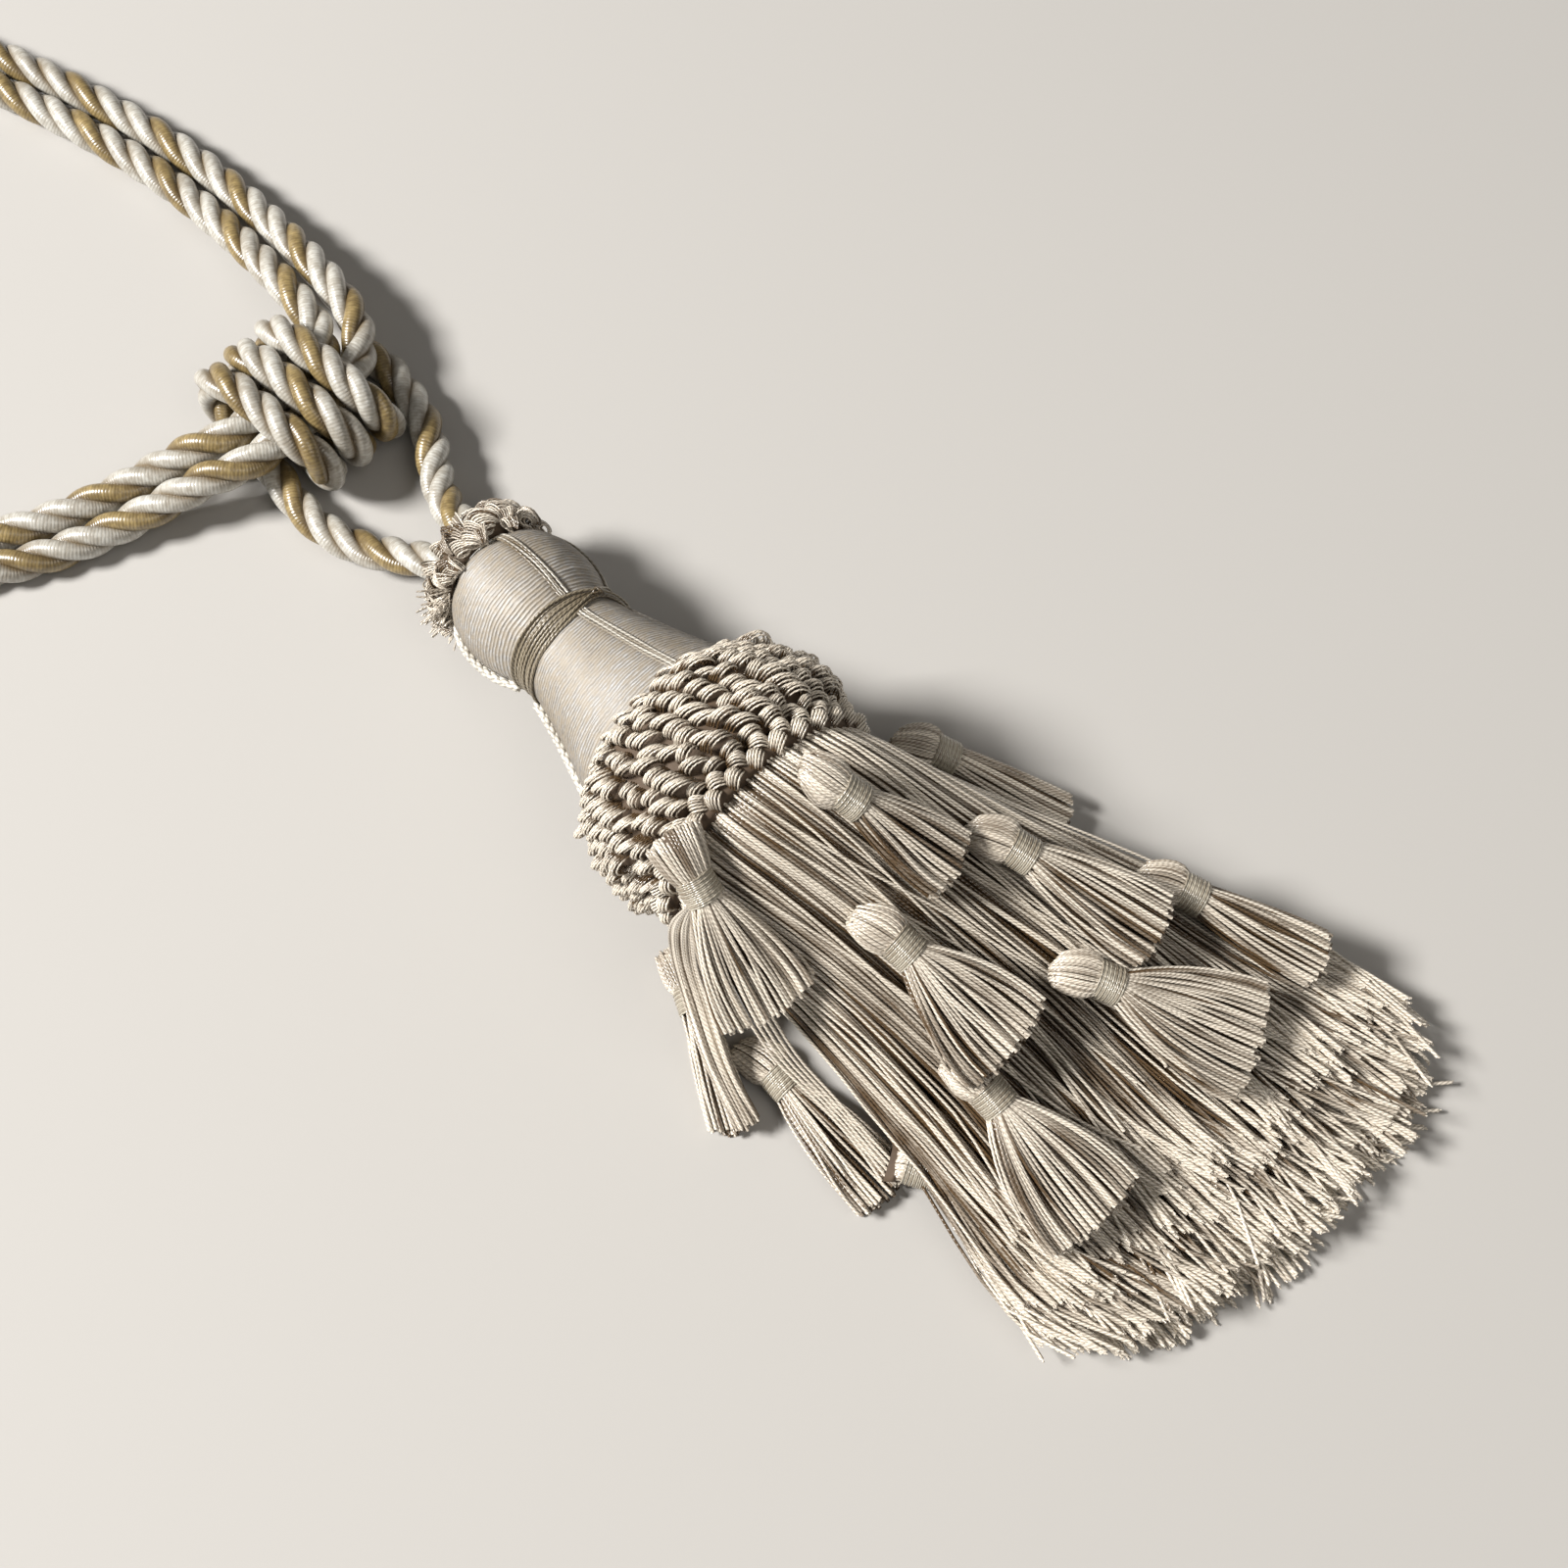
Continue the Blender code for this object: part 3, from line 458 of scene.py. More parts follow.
def lay_rope(name, points, slips):
    """A three-strand rope along a route: the mesh, and the route's own points in metres.

    Slips say how far round the strands lie, in turns, at lengths along the rope in millimetres.
    """
    route = smooth_route(points, STRAND_STEP)
    ahead = np.gradient(route, axis=0)
    ahead /= np.linalg.norm(ahead, axis=1)[:, None]
    side = np.array([0.0, 0.0, 1.0])
    sides = []
    for direction in ahead:
        side = side - direction * side.dot(direction)
        side = side / np.linalg.norm(side)
        sides.append(side)
    sides = np.array(sides)
    others = np.cross(ahead, sides)
    reach = np.concatenate([[0.0], np.cumsum(np.linalg.norm(np.diff(route, axis=0), axis=1))])
    slip = np.interp(reach, *np.array(slips).T)
    pieces = []
    for number, finish in enumerate((ivory_strand, ivory_strand, gold_strand)):
        turn = (math.tau * (reach / ROPE_LAY + number / 3 + slip))[:, None]
        guide = route + STRAND_CENTRE * (np.cos(turn) * sides + np.sin(turn) * others)
        strand = sweep_strands(f"{name}_{number}", [guide], [STRAND_RADIUS], finish, sides=STRAND_SIDES)
        # Painted shade: each strand is darker where it lies near the rope's middle, in the grooves between
        # strands.
        rings = np.empty(len(strand.data.vertices) * 3, np.float32)
        strand.data.vertices.foreach_get("co", rings)
        middles = in_metres(route).repeat(STRAND_SIDES, axis=0)
        off_axis = np.linalg.norm(rings.reshape(-1, 3) - middles, axis=1) * 1000
        painted_shade = np.interp(off_axis, *np.array(STRAND_PAINTED_SHADES).T).astype(np.float32)
        strand.data.attributes["shade"].data.foreach_set("value", painted_shade)
        pieces.append(strand)
    return joined(name, pieces), in_metres(route), reach[-1] * 0.001


wraps = [wrap_point(k / WRAP_POINTS) for k in range(WRAPS * WRAP_POINTS)]
tassel_rope, rope_path, rope_length = lay_rope(
    "tassel_rope_strands", [*LEG_OUT, *wraps, *LEG_BACK], TASSEL_ROPE_SLIPS)
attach(tassel_rope, "root")
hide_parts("tassel_rope")

half = ROPE_SPACING / 2
embrace_points = np.vstack([
    [(KNOT_X - half, 0.4, CORE_HEIGHT)],
    beside(UPPER_ARM, half), hook_loop(UPPER_ARM), beside(UPPER_ARM, -half)[::-1],
    beside(LOWER_ARM, half), hook_loop(LOWER_ARM), beside(LOWER_ARM, -half)[::-1],
    [(KNOT_X - half, -0.4, CORE_HEIGHT)],
])
embrace_rope, embrace_path, embrace_length = lay_rope(
    "embrace_rope_strands", embrace_points, EMBRACE_ROPE_SLIPS)
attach(embrace_rope, "root")
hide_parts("embrace_rope")

# ---- the wound mould -----------------------------------------------------------------------------
# A turned wooden mould, dome above and bell below, wound side by side with silver-grey floss. The first
# and the last turns are hidden under the ruff and the collar.
AXIS_TILT = math.radians(9.0)    # the mould rises from the table towards the collar
AXIS_YAW = math.radians(-2.0)
NECK_HEIGHT = 17.6
MOULD_FORM = [
    # along the axis from the neck, radius
    (-26.0, 8.4), (-24.4, 11.2), (-21.5, 13.2), (-17.0, 14.3), (-12.0, 14.4), (-7.4, 13.5), (-4.4, 12.1),
    (2.2, 12.1), (7.0, 13.4), (13.0, 15.1), (20.0, 17.4), (27.0, 19.9), (34.0, 21.2), (48.0, 21.2),
]
MOULD_SIDES = 144
FLOSS_PITCH = 0.74
FLOSS_RELIEF = 0.17
FLOSS_ROWS = 3                   # rows of points for each turn of the floss
FLOSS_SILVER = (0.64, 0.66, 0.685)
FLOSS_DEEP = (0.34, 0.28, 0.20)
# painted shade in the grooves between the floss's windings
FLOSS_GROOVE_SHADE = (0.12, 0.095, 0.065)
PRESSED = 0.35                   # how far the front tie sinks into the floss, on its own line
PRESSED_ANGLE = 15.0
PRESSED_WIDTH = 4.5              # in degrees
TABLE_GAP = 0.1
chance = np.random.default_rng(4)


def about_axis(along, radius, angle):
    """Points about the mould's axis. Angle 0 is on top, and it grows towards +Y."""
    turn = np.radians(angle)
    rise = radius * np.cos(turn)
    x = along * math.cos(AXIS_TILT) - rise * math.sin(AXIS_TILT)
    y = radius * np.sin(turn)
    z = NECK_HEIGHT + along * math.sin(AXIS_TILT) + rise * math.cos(AXIS_TILT)
    turned_x = x * math.cos(AXIS_YAW) - y * math.sin(AXIS_YAW)
    turned_y = x * math.sin(AXIS_YAW) + y * math.cos(AXIS_YAW)
    return np.stack(np.broadcast_arrays(turned_x, turned_y, z), axis=-1)


def off_table(points, clearance):
    """The same points, with none nearer to the table than this."""
    raised = np.array(points)
    raised[..., 2] = np.maximum(raised[..., 2], clearance)
    return raised


def softened(table, where, column=1):
    """A column of a form's table, read off at these places with its corners rounded."""
    own = np.asarray(table, float)
    fine = np.linspace(own[0, 0], own[-1, 0], 400)
    level = np.interp(fine, own[:, 0], own[:, column])
    blur = 15                    # fine steps to each side
    window = np.hanning(2 * blur + 1)
    before, after = 2 * level[0] - level[blur:0:-1], 2 * level[-1] - level[-2:-2 - blur:-1]
    padded = np.concatenate([before, level, after])
    return np.interp(where, fine, np.convolve(padded, window / window.sum(), "valid"))


def skin(name, grid, finish, ring=False, along=None):
    """A closed skin over rows of points. The rows meet in a ring, or end in caps.

    Along is how far each row is along the piece, where its finish has threads that follow it.
    """
    rows, count = grid.shape[:2]
    i = np.arange(rows if ring else rows - 1)[:, None]
    j = np.arange(count)[None, :]
    low, high = i * count, (i + 1) % rows * count
    corners = np.broadcast_arrays(low + j, low + (j + 1) % count, high + (j + 1) % count, high + j)
    faces = np.stack(corners, axis=-1).reshape(-1, 4).tolist()
    if not ring:
        faces += [list(range(count)), list(range((rows - 1) * count, rows * count))]
    mesh = bpy.data.meshes.new(name)
    mesh.from_pydata(in_metres(grid.reshape(-1, 3)).tolist(), [], faces)
    turn = np.broadcast_to(np.arange(count) * math.tau / count, (rows, count))
    length = np.zeros((rows, count)) if along is None else np.broadcast_to(along[:, None], (rows, count))
    lay = np.stack([np.cos(turn), np.sin(turn), length * 0.001], axis=-1).astype(np.float32)
    mesh.attributes.new("lay", "FLOAT_VECTOR", "POINT").data.foreach_set("vector", lay.ravel())
    build = bmesh.new()
    build.from_mesh(mesh)
    bmesh.ops.recalc_face_normals(build, faces=build.faces)
    build.to_mesh(mesh)
    build.free()
    mesh.materials.append(finish)
    mesh.shade_smooth()
    piece = bpy.data.objects.new(name, mesh)
    scene.collection.objects.link(piece)
    return piece


def dress(piece, slot, *nodes):
    """The piece stands for these plain parts, and goes wherever the tassel goes."""
    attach(piece, "root")
    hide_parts(*nodes)


floss_finish = strand_finish("wound_floss", FLOSS_SILVER, FLOSS_DEEP, FLOSS_GROOVE_SHADE, FLOSS_PITCH, 0.0, 0.85,
                             0.58, sharpness=0.9, flecks=0.6, fleck_size=(0.012, 1.5))
rows = np.arange(MOULD_FORM[0][0], MOULD_FORM[-1][0], FLOSS_PITCH / FLOSS_ROWS)
turn_number = np.arange(len(rows)) // FLOSS_ROWS
turns = turn_number[-1] + 1
angles = np.arange(MOULD_SIDES) * 360.0 / MOULD_SIDES
round_about = np.radians(angles)[None, :]
wander = chance.normal(0, 0.25, (3, turns)).cumsum(axis=1)[:, turn_number][:, :, None]
slip = 0.22 * np.sin(round_about + wander[0]) + 0.16 * np.sin(5 * round_about + wander[1])
slip = slip + 0.08 * np.sin(13 * round_about + 2.0 * wander[2])
crown = -np.cos((np.arange(len(rows)) % FLOSS_ROWS) * math.tau / FLOSS_ROWS)[:, None]
swell = 0.04 * np.sin(2 * round_about + wander[2]) + chance.normal(0, 0.02, turns)[turn_number][:, None]
from_tie = (angles - PRESSED_ANGLE + 180) % 360 - 180
dent = PRESSED * np.exp(-(from_tie / PRESSED_WIDTH) ** 2)[None, :]
radius = softened(MOULD_FORM, rows)[:, None] + FLOSS_RELIEF * crown + swell - dent
wound = off_table(about_axis(rows[:, None] + slip, radius, angles[None, :]), TABLE_GAP)
mould = skin("wound_mould_floss", wound, floss_finish, along=rows + FLOSS_PITCH / 4)
dress(mould, "wound_yarn", "wound_mould")

# ---- the ruff on the head ------------------------------------------------------------------------
# A collar of yarn sewn round the top where the rope comes out: small curls of a few threads each, and
# on one side their cut ends, fanned out.
RUFF_TIERS = [
    # a curl's middle along the axis and out from it, and how far it reaches forth and out from there
    (-31.0, 10.2, 2.3, 1.9), (-29.0, 11.6, 2.3, 1.9), (-26.8, 12.6, 2.2, 1.7), (-25.2, 13.0, 1.9, 1.4),
]
RUFF_CURLS = 19
CURL_THREADS = 6
CURL_POINTS = 14
CURL_SPREAD = 2.7
THREAD_RADIUS = 0.2
THREAD_GAP = THREAD_RADIUS + 0.05    # the middle of a thread that lies on the table
RUFF_CUT_ENDS = 120
RUFF_CUT_ANGLE = -105.0
RUFF_CORE = (-27.8, 10.4, 2.6, 1.1)  # along, radius and their two reaches
YARN_PALE = (0.97, 0.89, 0.765)
# deep: the darkest yarns' own tone, and the painted shade of yarns under others; groove: painted shade
YARN_DEEP = (0.105, 0.062, 0.027)
YARN_GROOVE_SHADE = (0.10, 0.062, 0.03)
# painted shadow: the colour of the dark cores that show between threads
YARN_PAINTED_SHADOW = (0.075, 0.043, 0.019)
chance = np.random.default_rng(9)

yarn_finish = strand_finish("champagne_yarn", YARN_PALE, YARN_DEEP, YARN_GROOVE_SHADE, 1.0, 2.0, 0.55, 0.24,
                            sheen=0.04)
# A finish in painted shadow colour, for the cores under the threads.
painted_shadow_finish = strand_finish("yarn_in_shadow", YARN_PAINTED_SHADOW, YARN_PAINTED_SHADOW, YARN_PAINTED_SHADOW, 1.7, 2.0, 0.2, 0.8,
                              sheen=0.0)


def axis_frame(angle):
    """Directions at this angle: along the axis, out from it and round it."""
    middle = about_axis(0.0, 0.0, angle)
    along, out = about_axis(1.0, 0.0, angle) - middle, about_axis(0.0, 1.0, angle) - middle
    return along, out, np.cross(out, along)


def core_ring(name, section, count):
    """A closed ring in painted shadow colour that shows dark between the threads. Its section is given along
    the axis and out.
    """
    along, out = np.asarray(section, float).T
    rings = [off_table(about_axis(along, out, k * 360.0 / count), TABLE_GAP) for k in range(count)]
    return skin(name, np.stack(rings), painted_shadow_finish, ring=True)


guides, shades = [], []
for tier, (middle_along, middle_radius, reach_along, reach_out) in enumerate(RUFF_TIERS):
    for number in range(RUFF_CURLS):
        angle = 360.0 * (number + tier / 2) / RUFF_CURLS + chance.normal(0, 4.0)
        along, out, around = axis_frame(angle)
        twist = math.radians(chance.uniform(-40.0, 75.0))
        forth = along * math.cos(twist) + around * math.sin(twist)
        across = around * math.cos(twist) - along * math.sin(twist)
        own_along, own_radius = middle_along + chance.normal(0, 0.4), middle_radius + chance.normal(0, 0.3)
        middle = about_axis(own_along, own_radius, angle)
        size, tone = chance.uniform(0.85, 1.25), chance.normal(0, 0.35)
        for k in range(CURL_THREADS):
            share = k / (CURL_THREADS - 1) - 0.5
            grow = size * (0.88 + 0.5 * share) * chance.uniform(0.94, 1.06)
            turn = np.radians(np.linspace(-55.0, -335.0 + chance.normal(0, 10), CURL_POINTS))[:, None]
            open_out = 0.45 + 0.55 * np.sin(np.linspace(0, math.pi, CURL_POINTS))
            spread = CURL_SPREAD * share * open_out[:, None]
            curl = reach_along * np.cos(turn) * forth + reach_out * np.sin(turn) * out
            guides.append(middle + grow * curl + spread * across)
            # Painted shade: each curl darkens along its length, towards the end where it turns in.
            shades.append(tone + chance.normal(0.25, 0.6) + np.linspace(0.3, -0.6, CURL_POINTS))
for _ in range(RUFF_CUT_ENDS):
    angle = RUFF_CUT_ANGLE + chance.normal(0, 24.0)
    along, out, around = axis_frame(angle)
    start = about_axis(chance.uniform(-27.5, -24.5), 11.0, angle)
    aim = out + along * chance.uniform(-0.9, 0.25) + around * chance.normal(0, 0.22)
    aim /= np.linalg.norm(aim)
    reach = chance.uniform(3.2, 6.2)
    steps = np.linspace(0, 1, 5)[:, None]
    sag = np.array([*chance.normal(0, 0.5, 2), -0.8])
    guides.append(start + reach * steps * aim + steps**2 * sag)
    shades.append(chance.normal(0.3, 0.4))
guides = [off_table(g, THREAD_GAP) for g in guides]
curls = sweep_strands("ruff_curls", guides, [THREAD_RADIUS] * len(guides), yarn_finish, sides=4,
                      shades=shades)
# Under the curls lies a dark core ring in painted shadow colour.
section = [
    (RUFF_CORE[0] + RUFF_CORE[2] * math.cos(turn), RUFF_CORE[1] + RUFF_CORE[3] * math.sin(turn))
    for turn in np.radians(np.arange(10) * 36.0)
]
core = core_ring("ruff_core", section, 48)
dress(joined("head_ruff_curls", [curls, core]), "yarn", "head_ruff")

# ---- the neck binding ----------------------------------------------------------------------------
# Thirteen turns of olive-brown thread round the waist of the mould, pulled together where two more threads
# cross them, with a small knot on the crossing.
BINDING_TURNS = 13
BINDING_FROM, BINDING_TO = -4.3, 1.9
BINDING_THREAD_RADIUS = 0.24
BINDING_PINCH = 0.60             # how much narrower the band is where the crossing threads pull it in
BINDING_PINCH_ANGLE = 40.0
THREAD_OLIVE = (0.46, 0.40, 0.29)
THREAD_DEEP = (0.09, 0.065, 0.035)
# painted shade in the grooves between a thread's plies
THREAD_GROOVE_SHADE = (0.07, 0.045, 0.025)
KNOT_LOOPS = 4
KNOT_MIDDLE = (-0.6, 13.6)       # along the axis, and out from it
KNOT_SHADE = -2.0
CORD_GAP = 0.5                   # the middle of a thread that lies on the table

thread_finish = strand_finish("binding_thread", THREAD_OLIVE, THREAD_DEEP, THREAD_GROOVE_SHADE, 1.2, 2.0, 0.65,
                              0.34)
turns = np.linspace(0, BINDING_TURNS, BINDING_TURNS * 36 + 1)
pinch = np.exp(-(((360 * turns - BINDING_PINCH_ANGLE) % 360 - 180) / 26.0) ** 2)
across = (BINDING_TO - BINDING_FROM) * (turns / BINDING_TURNS - 0.5) + 0.2 * np.sin(turns * 4.1)
along = (BINDING_FROM + BINDING_TO) / 2 + across * (1 - BINDING_PINCH * pinch)
snug = softened(MOULD_FORM, along) + 0.85 * BINDING_THREAD_RADIUS + 0.12 * np.sin(turns * 3.7) + 0.35 * pinch
guides = [about_axis(along, snug, 180 + 360 * turns)]
from_pinch = np.cos(np.radians(360 * turns - 180 - BINDING_PINCH_ANGLE))
shades = [np.interp(from_pinch, [0.8, 1.0], [0.0, -0.7])]
for lean, rise in ((1.0, 0.75), (-1.0, 0.35)):    # the two that cross, one over the other
    angle = np.linspace(-125, 150, 44)
    side = (angle - BINDING_PINCH_ANGLE) / 40.0
    across = lean * np.tanh(side) * 2.9 - 1.2
    lift = softened(MOULD_FORM, across) + 2.0 * BINDING_THREAD_RADIUS + rise / (1 + side**2)
    guides.append(about_axis(across, lift, angle))
    shades.append(0.0)
for k in range(KNOT_LOOPS):
    turn = np.radians(np.linspace(0, 400, 16))
    along, out, around = axis_frame(BINDING_PINCH_ANGLE)
    middle = about_axis(*KNOT_MIDDLE, BINDING_PINCH_ANGLE + 1.0 * (k - (KNOT_LOOPS - 1) / 2))
    width = (0.35 + 0.15 * k) * along + 0.3 * around
    depth = 0.35 * out + (0.5 - 0.3 * k) * around
    guides.append(middle + np.outer(np.cos(turn), width) + np.outer(np.sin(turn), depth))
    shades.append(KNOT_SHADE)
binding = sweep_strands("neck_binding_thread", [off_table(g, CORD_GAP) for g in guides],
                        [BINDING_THREAD_RADIUS] * len(guides), thread_finish, sides=7, shades=shades)
dress(binding, "thread", "neck_binding")

# ---- the side cords ------------------------------------------------------------------------------
# Four ties run down the mould from the ruff to the binding and on to the collar. Three are flat, four fine
# threads side by side, and the one at the left is a thicker white cord twisted from three plies.
SIDE_CORDS = [("flat", PRESSED_ANGLE), ("flat", 82.0), ("twisted", -104.0), ("flat", 155.0)]
HEAD_SPAN = (-24.0, -3.6)
BELL_SPAN = (1.4, 30.0)
SPAN_POINTS = 64
SIDE_LIFT = 0.1                  # of a tie from the plain mould
FLAT_THREADS = [(-1.5, -0.7), (-0.5, 0.1), (0.5, -0.7), (1.5, 0.1)]    # place across the tie, shade
FLAT_THREAD_RADIUS = 0.27
FLAT_THREAD_SPACING = 0.56
TWISTED_PLIES = 3
TWISTED_LAY = 6.5
TWISTED_PLY_RADIUS = 0.52
TWISTED_SWING = 0.42
TWISTED_SHADE = 0.6
SIDE_PALE = (0.82, 0.79, 0.71)
SIDE_DEEP = (0.16, 0.12, 0.07)

guides, thick, shades = [], [], []
for kind, angle in SIDE_CORDS:
    for span in (HEAD_SPAN, BELL_SPAN):
        steps = np.linspace(*span, SPAN_POINTS)
        surface = softened(MOULD_FORM, steps) + SIDE_LIFT
        if kind == "flat":
            for k, shade in FLAT_THREADS:
                own_place = k * FLAT_THREAD_SPACING + 0.10 * np.sin(steps * 0.35 + 2 * k)
                sideways = np.degrees(own_place / surface)
                guides.append(about_axis(steps, surface + 0.25, angle + sideways))
                thick.append(FLAT_THREAD_RADIUS)
                shades.append(shade)
        else:
            for k in range(TWISTED_PLIES):
                turn = steps * math.tau / TWISTED_LAY + k * math.tau / TWISTED_PLIES
                sideways = np.degrees(TWISTED_SWING * np.cos(turn) / surface)
                out = surface + 0.85 + TWISTED_SWING * np.sin(turn)
                guides.append(about_axis(steps, out, angle + sideways))
                thick.append(TWISTED_PLY_RADIUS)
                shades.append(TWISTED_SHADE)
side_finish = strand_finish("side_cord_thread", SIDE_PALE, SIDE_DEEP, THREAD_GROOVE_SHADE, 1.3, 2.0, 0.6, 0.34)
side_cords = sweep_strands("side_cord_threads", [off_table(g, CORD_GAP) for g in guides], thick, side_finish,
                           sides=7, shades=shades)
dress(side_cords, "thread", *[f"side_cord_{part}_{n}" for part in ("head", "bell") for n in (1, 2, 3, 4)])

# ---- the loop collar -----------------------------------------------------------------------------
# A band of looped braid sewn round the foot of the bell. Its ridges run a little aslant from the mould
# down to the skirt, each a row of small loops of five threads that arch over it.
COLLAR_FORM = [
    # along the axis, and out to the middle of the loops' threads
    (28.4, 21.8), (29.4, 23.6), (31.6, 25.6), (34.8, 26.8), (38.2, 27.9), (41.8, 27.9), (45.2, 28.3),
    (48.6, 27.2), (50.8, 25.2),
]
COLLAR_CORE = [
    (29.5, 21.4), (31.6, 22.7), (34.8, 23.6), (38.2, 24.6), (45.2, 24.9), (48.6, 24.1), (50.4, 22.9),
    (50.4, 21.6), (40.0, 21.4),
]
COLLAR_RIDGES = 34
COLLAR_SLANT = 0.9               # degrees round the axis for each millimetre along it
COLLAR_SLANT_FROM = 40.0
LOOP_PITCH = 2.6
LOOP_THREADS = 5
LOOP_THREAD_SPACING = 0.49
LOOP_DIVE = 4.2                  # how deep a loop's two feet go
LOOP_LEAN = 0.55
FIRST_LOOPS = 1.6                # loops whose middle is nearer than this to the collar's edge stand up more
CORE_SIDES = 96
chance = np.random.default_rng(33)

form = np.asarray(COLLAR_FORM)
reach = np.concatenate([[0.0], np.cumsum(np.hypot(*np.diff(form, axis=0).T))])
cell = 360.0 / COLLAR_RIDGES
bow = np.linspace(-1.0, 1.0, 9)
arch = np.sqrt(1 - 0.97 * bow**2)
guides, shades = [], []
for ridge in range(COLLAR_RIDGES):
    start = chance.uniform(0.1, 1.0)
    for middle in np.arange(start, reach[-1], LOOP_PITCH):
        lift, lean = chance.normal(0.1, 0.6), LOOP_LEAN + chance.normal(0, 0.55)
        drift, tone = chance.normal(0, 1.3), chance.normal(0, 0.2)
        dive = LOOP_DIVE * chance.uniform(0.8, 1.15)
        if middle < FIRST_LOOPS:
            lean, lift, dive = lean + 0.5, lift + 0.5, 0.95 * dive
        for k in range(LOOP_THREADS):
            from_middle = k - (LOOP_THREADS - 1) / 2
            place = middle + from_middle * LOOP_THREAD_SPACING
            along = np.interp(place, reach, form[:, 0]) + lean * bow
            out = np.interp(place, reach, form[:, 1]) + lift - 0.2 * from_middle**2 + 0.1 * from_middle
            angle = cell * ridge + COLLAR_SLANT * (along - COLLAR_SLANT_FROM) + drift + bow * cell * 0.5
            guides.append(about_axis(along, out - dive * (1 - arch), angle))
            # Painted light and shade: each loop is paler on its crown and darker at its feet, where it dives
            # in.
            shades.append(tone + chance.normal(1.2, 0.45) - 3.4 * np.abs(bow) ** 3)
guides = [off_table(g, THREAD_GAP) for g in guides]
loops = sweep_strands("collar_loops_threads", guides, [THREAD_RADIUS] * len(guides), yarn_finish, sides=4,
                      shades=shades)
# Under the loops lies a dark core ring in painted shadow colour.
core = core_ring("collar_core", COLLAR_CORE, CORE_SIDES)
dress(joined("loop_collar_loops", [loops, core]), "yarn", "loop_collar")

# ---- the plaited braid ---------------------------------------------------------------------------
# A narrow plait that covers the seam between the collar and the skirt: pairs of short bundles that lean
# together in a chain of V shapes.
BRAID_LINKS = 30
BRAID_THREADS = 6
BRAID_THREAD_RADIUS = THREAD_RADIUS + 0.02
BRAID_REACH = 2.0                # half the length of a bundle
BRAID_LEAN = 30.0                # of a bundle from the plait's own line
BRAID_MIDDLE = 52.7              # along the axis
BRAID_ROW = 0.95                 # from there to each of its two rows
BRAID_FOOT = 24.0                # out to the ends of a bundle
BRAID_RISE = 2.0                 # of its middle above them
BRAID_ROUND = 25.5               # the radius at which a bundle's length is measured
BRAID_CORE = [(50.6, 22.0), (51.4, 23.4), (53.0, 24.2), (54.6, 23.6), (55.2, 22.2)]
chance = np.random.default_rng(41)

guides, shades = [], []
cell = 360.0 / BRAID_LINKS
steps = np.linspace(-1.0, 1.0, 9)
swell = np.cos(steps * math.pi / 2)
length = BRAID_REACH * steps
for link in range(BRAID_LINKS):
    for row in (-1, 1):
        tone, lift = chance.normal(0.15, 0.3), chance.normal(0, 0.2)
        tilt = -row * math.radians(BRAID_LEAN + chance.normal(0, 6.0))
        for k in range(BRAID_THREADS):
            from_middle = k - (BRAID_THREADS - 1) / 2
            spread = from_middle * 0.5 * (0.85 + 0.2 * swell)
            along = BRAID_MIDDLE + BRAID_ROW * row + length * math.sin(tilt) + spread * math.cos(tilt)
            around = length * math.cos(tilt) - spread * math.sin(tilt)
            out = BRAID_FOOT + (BRAID_RISE + lift) * swell - 0.12 * from_middle**2 + 0.25 * row * steps
            angle = cell * (link + 0.25 * row) + np.degrees(around / BRAID_ROUND)
            guides.append(about_axis(along, out, angle))
            # Painted light and shade: each bundle is paler in its middle and darker at its ends.
            shades.append(tone + chance.normal(1.1, 0.45) - 2.6 * np.abs(steps) ** 3)
guides = [off_table(g, THREAD_GAP) for g in guides]
plait = sweep_strands("braid_threads", guides, [BRAID_THREAD_RADIUS] * len(guides), yarn_finish, sides=4,
                      shades=shades)
# Under the plait lies a dark core ring in painted shadow colour.
core = core_ring("braid_core", BRAID_CORE, CORE_SIDES)
dress(joined("collar_braid_plait", [plait, core]), "yarn", "collar_braid")

# ---- the skirt -----------------------------------------------------------------------------------
# Long cut fringe of two-ply yarn in bunches, sewn under the braid. It has sunk flat on the table, and its
# upper bunches are a little shorter than those below.
SKIRT_FORM = [
    # x, middle y, half width, height of the underside and of the top, flatness
    (57.0, 0.3, 24.2, 2.6, 50.4, 0.00), (72.0, 2.8, 26.8, 0.0, 40.6, 0.35),
    (90.0, 7.0, 31.8, 0.0, 30.0, 0.62), (112.0, 10.6, 38.4, 0.0, 20.6, 0.85),
    (140.0, 11.8, 46.0, 0.0, 13.8, 1.0), (175.0, 15.5, 51.5, 0.0, 11.0, 1.0),
]
SKIRT_END = [
    # share of the half width, x of the cut ends on the table
    (-1.00, 147.0), (-0.80, 158.0), (-0.60, 164.0), (-0.30, 168.0), (0.00, 171.5), (0.50, 171.5),
    (0.85, 166.0), (1.00, 154.0),
]
SKIRT_SETTLE = 0.7               # how far the underside has sunk on to the table
SKIRT_BOXINESS = 0.62
SKIRT_HEADING = [(53.0, 22.2), (56.0, 23.9), (59.0, 24.9)]    # a yarn under the braid: along the axis, out
SKIRT_FROM_X = 65.0              # where a yarn has left the heading
SKIRT_POINTS = 12
SKIRT_YARN_RADIUS = 0.29
SKIRT_LAYERS = [
    # bunches round the ring, yarns in a bunch, depth, degrees from the top, how much shorter on top, and
    # single threads at each cut end
    (54, 8, 0.25, 180.0, 20.0, 2), (50, 8, 1.1, 180.0, 16.0, 2), (46, 8, 2.2, 180.0, 2.0, 2),
    (44, 7, 3.6, 84.0, 0.0, 0),
]
STRAY_SHARE, STRAY_DEPTH = 0.12, 0.1    # yarns that stray in a bunch, and come up to the top
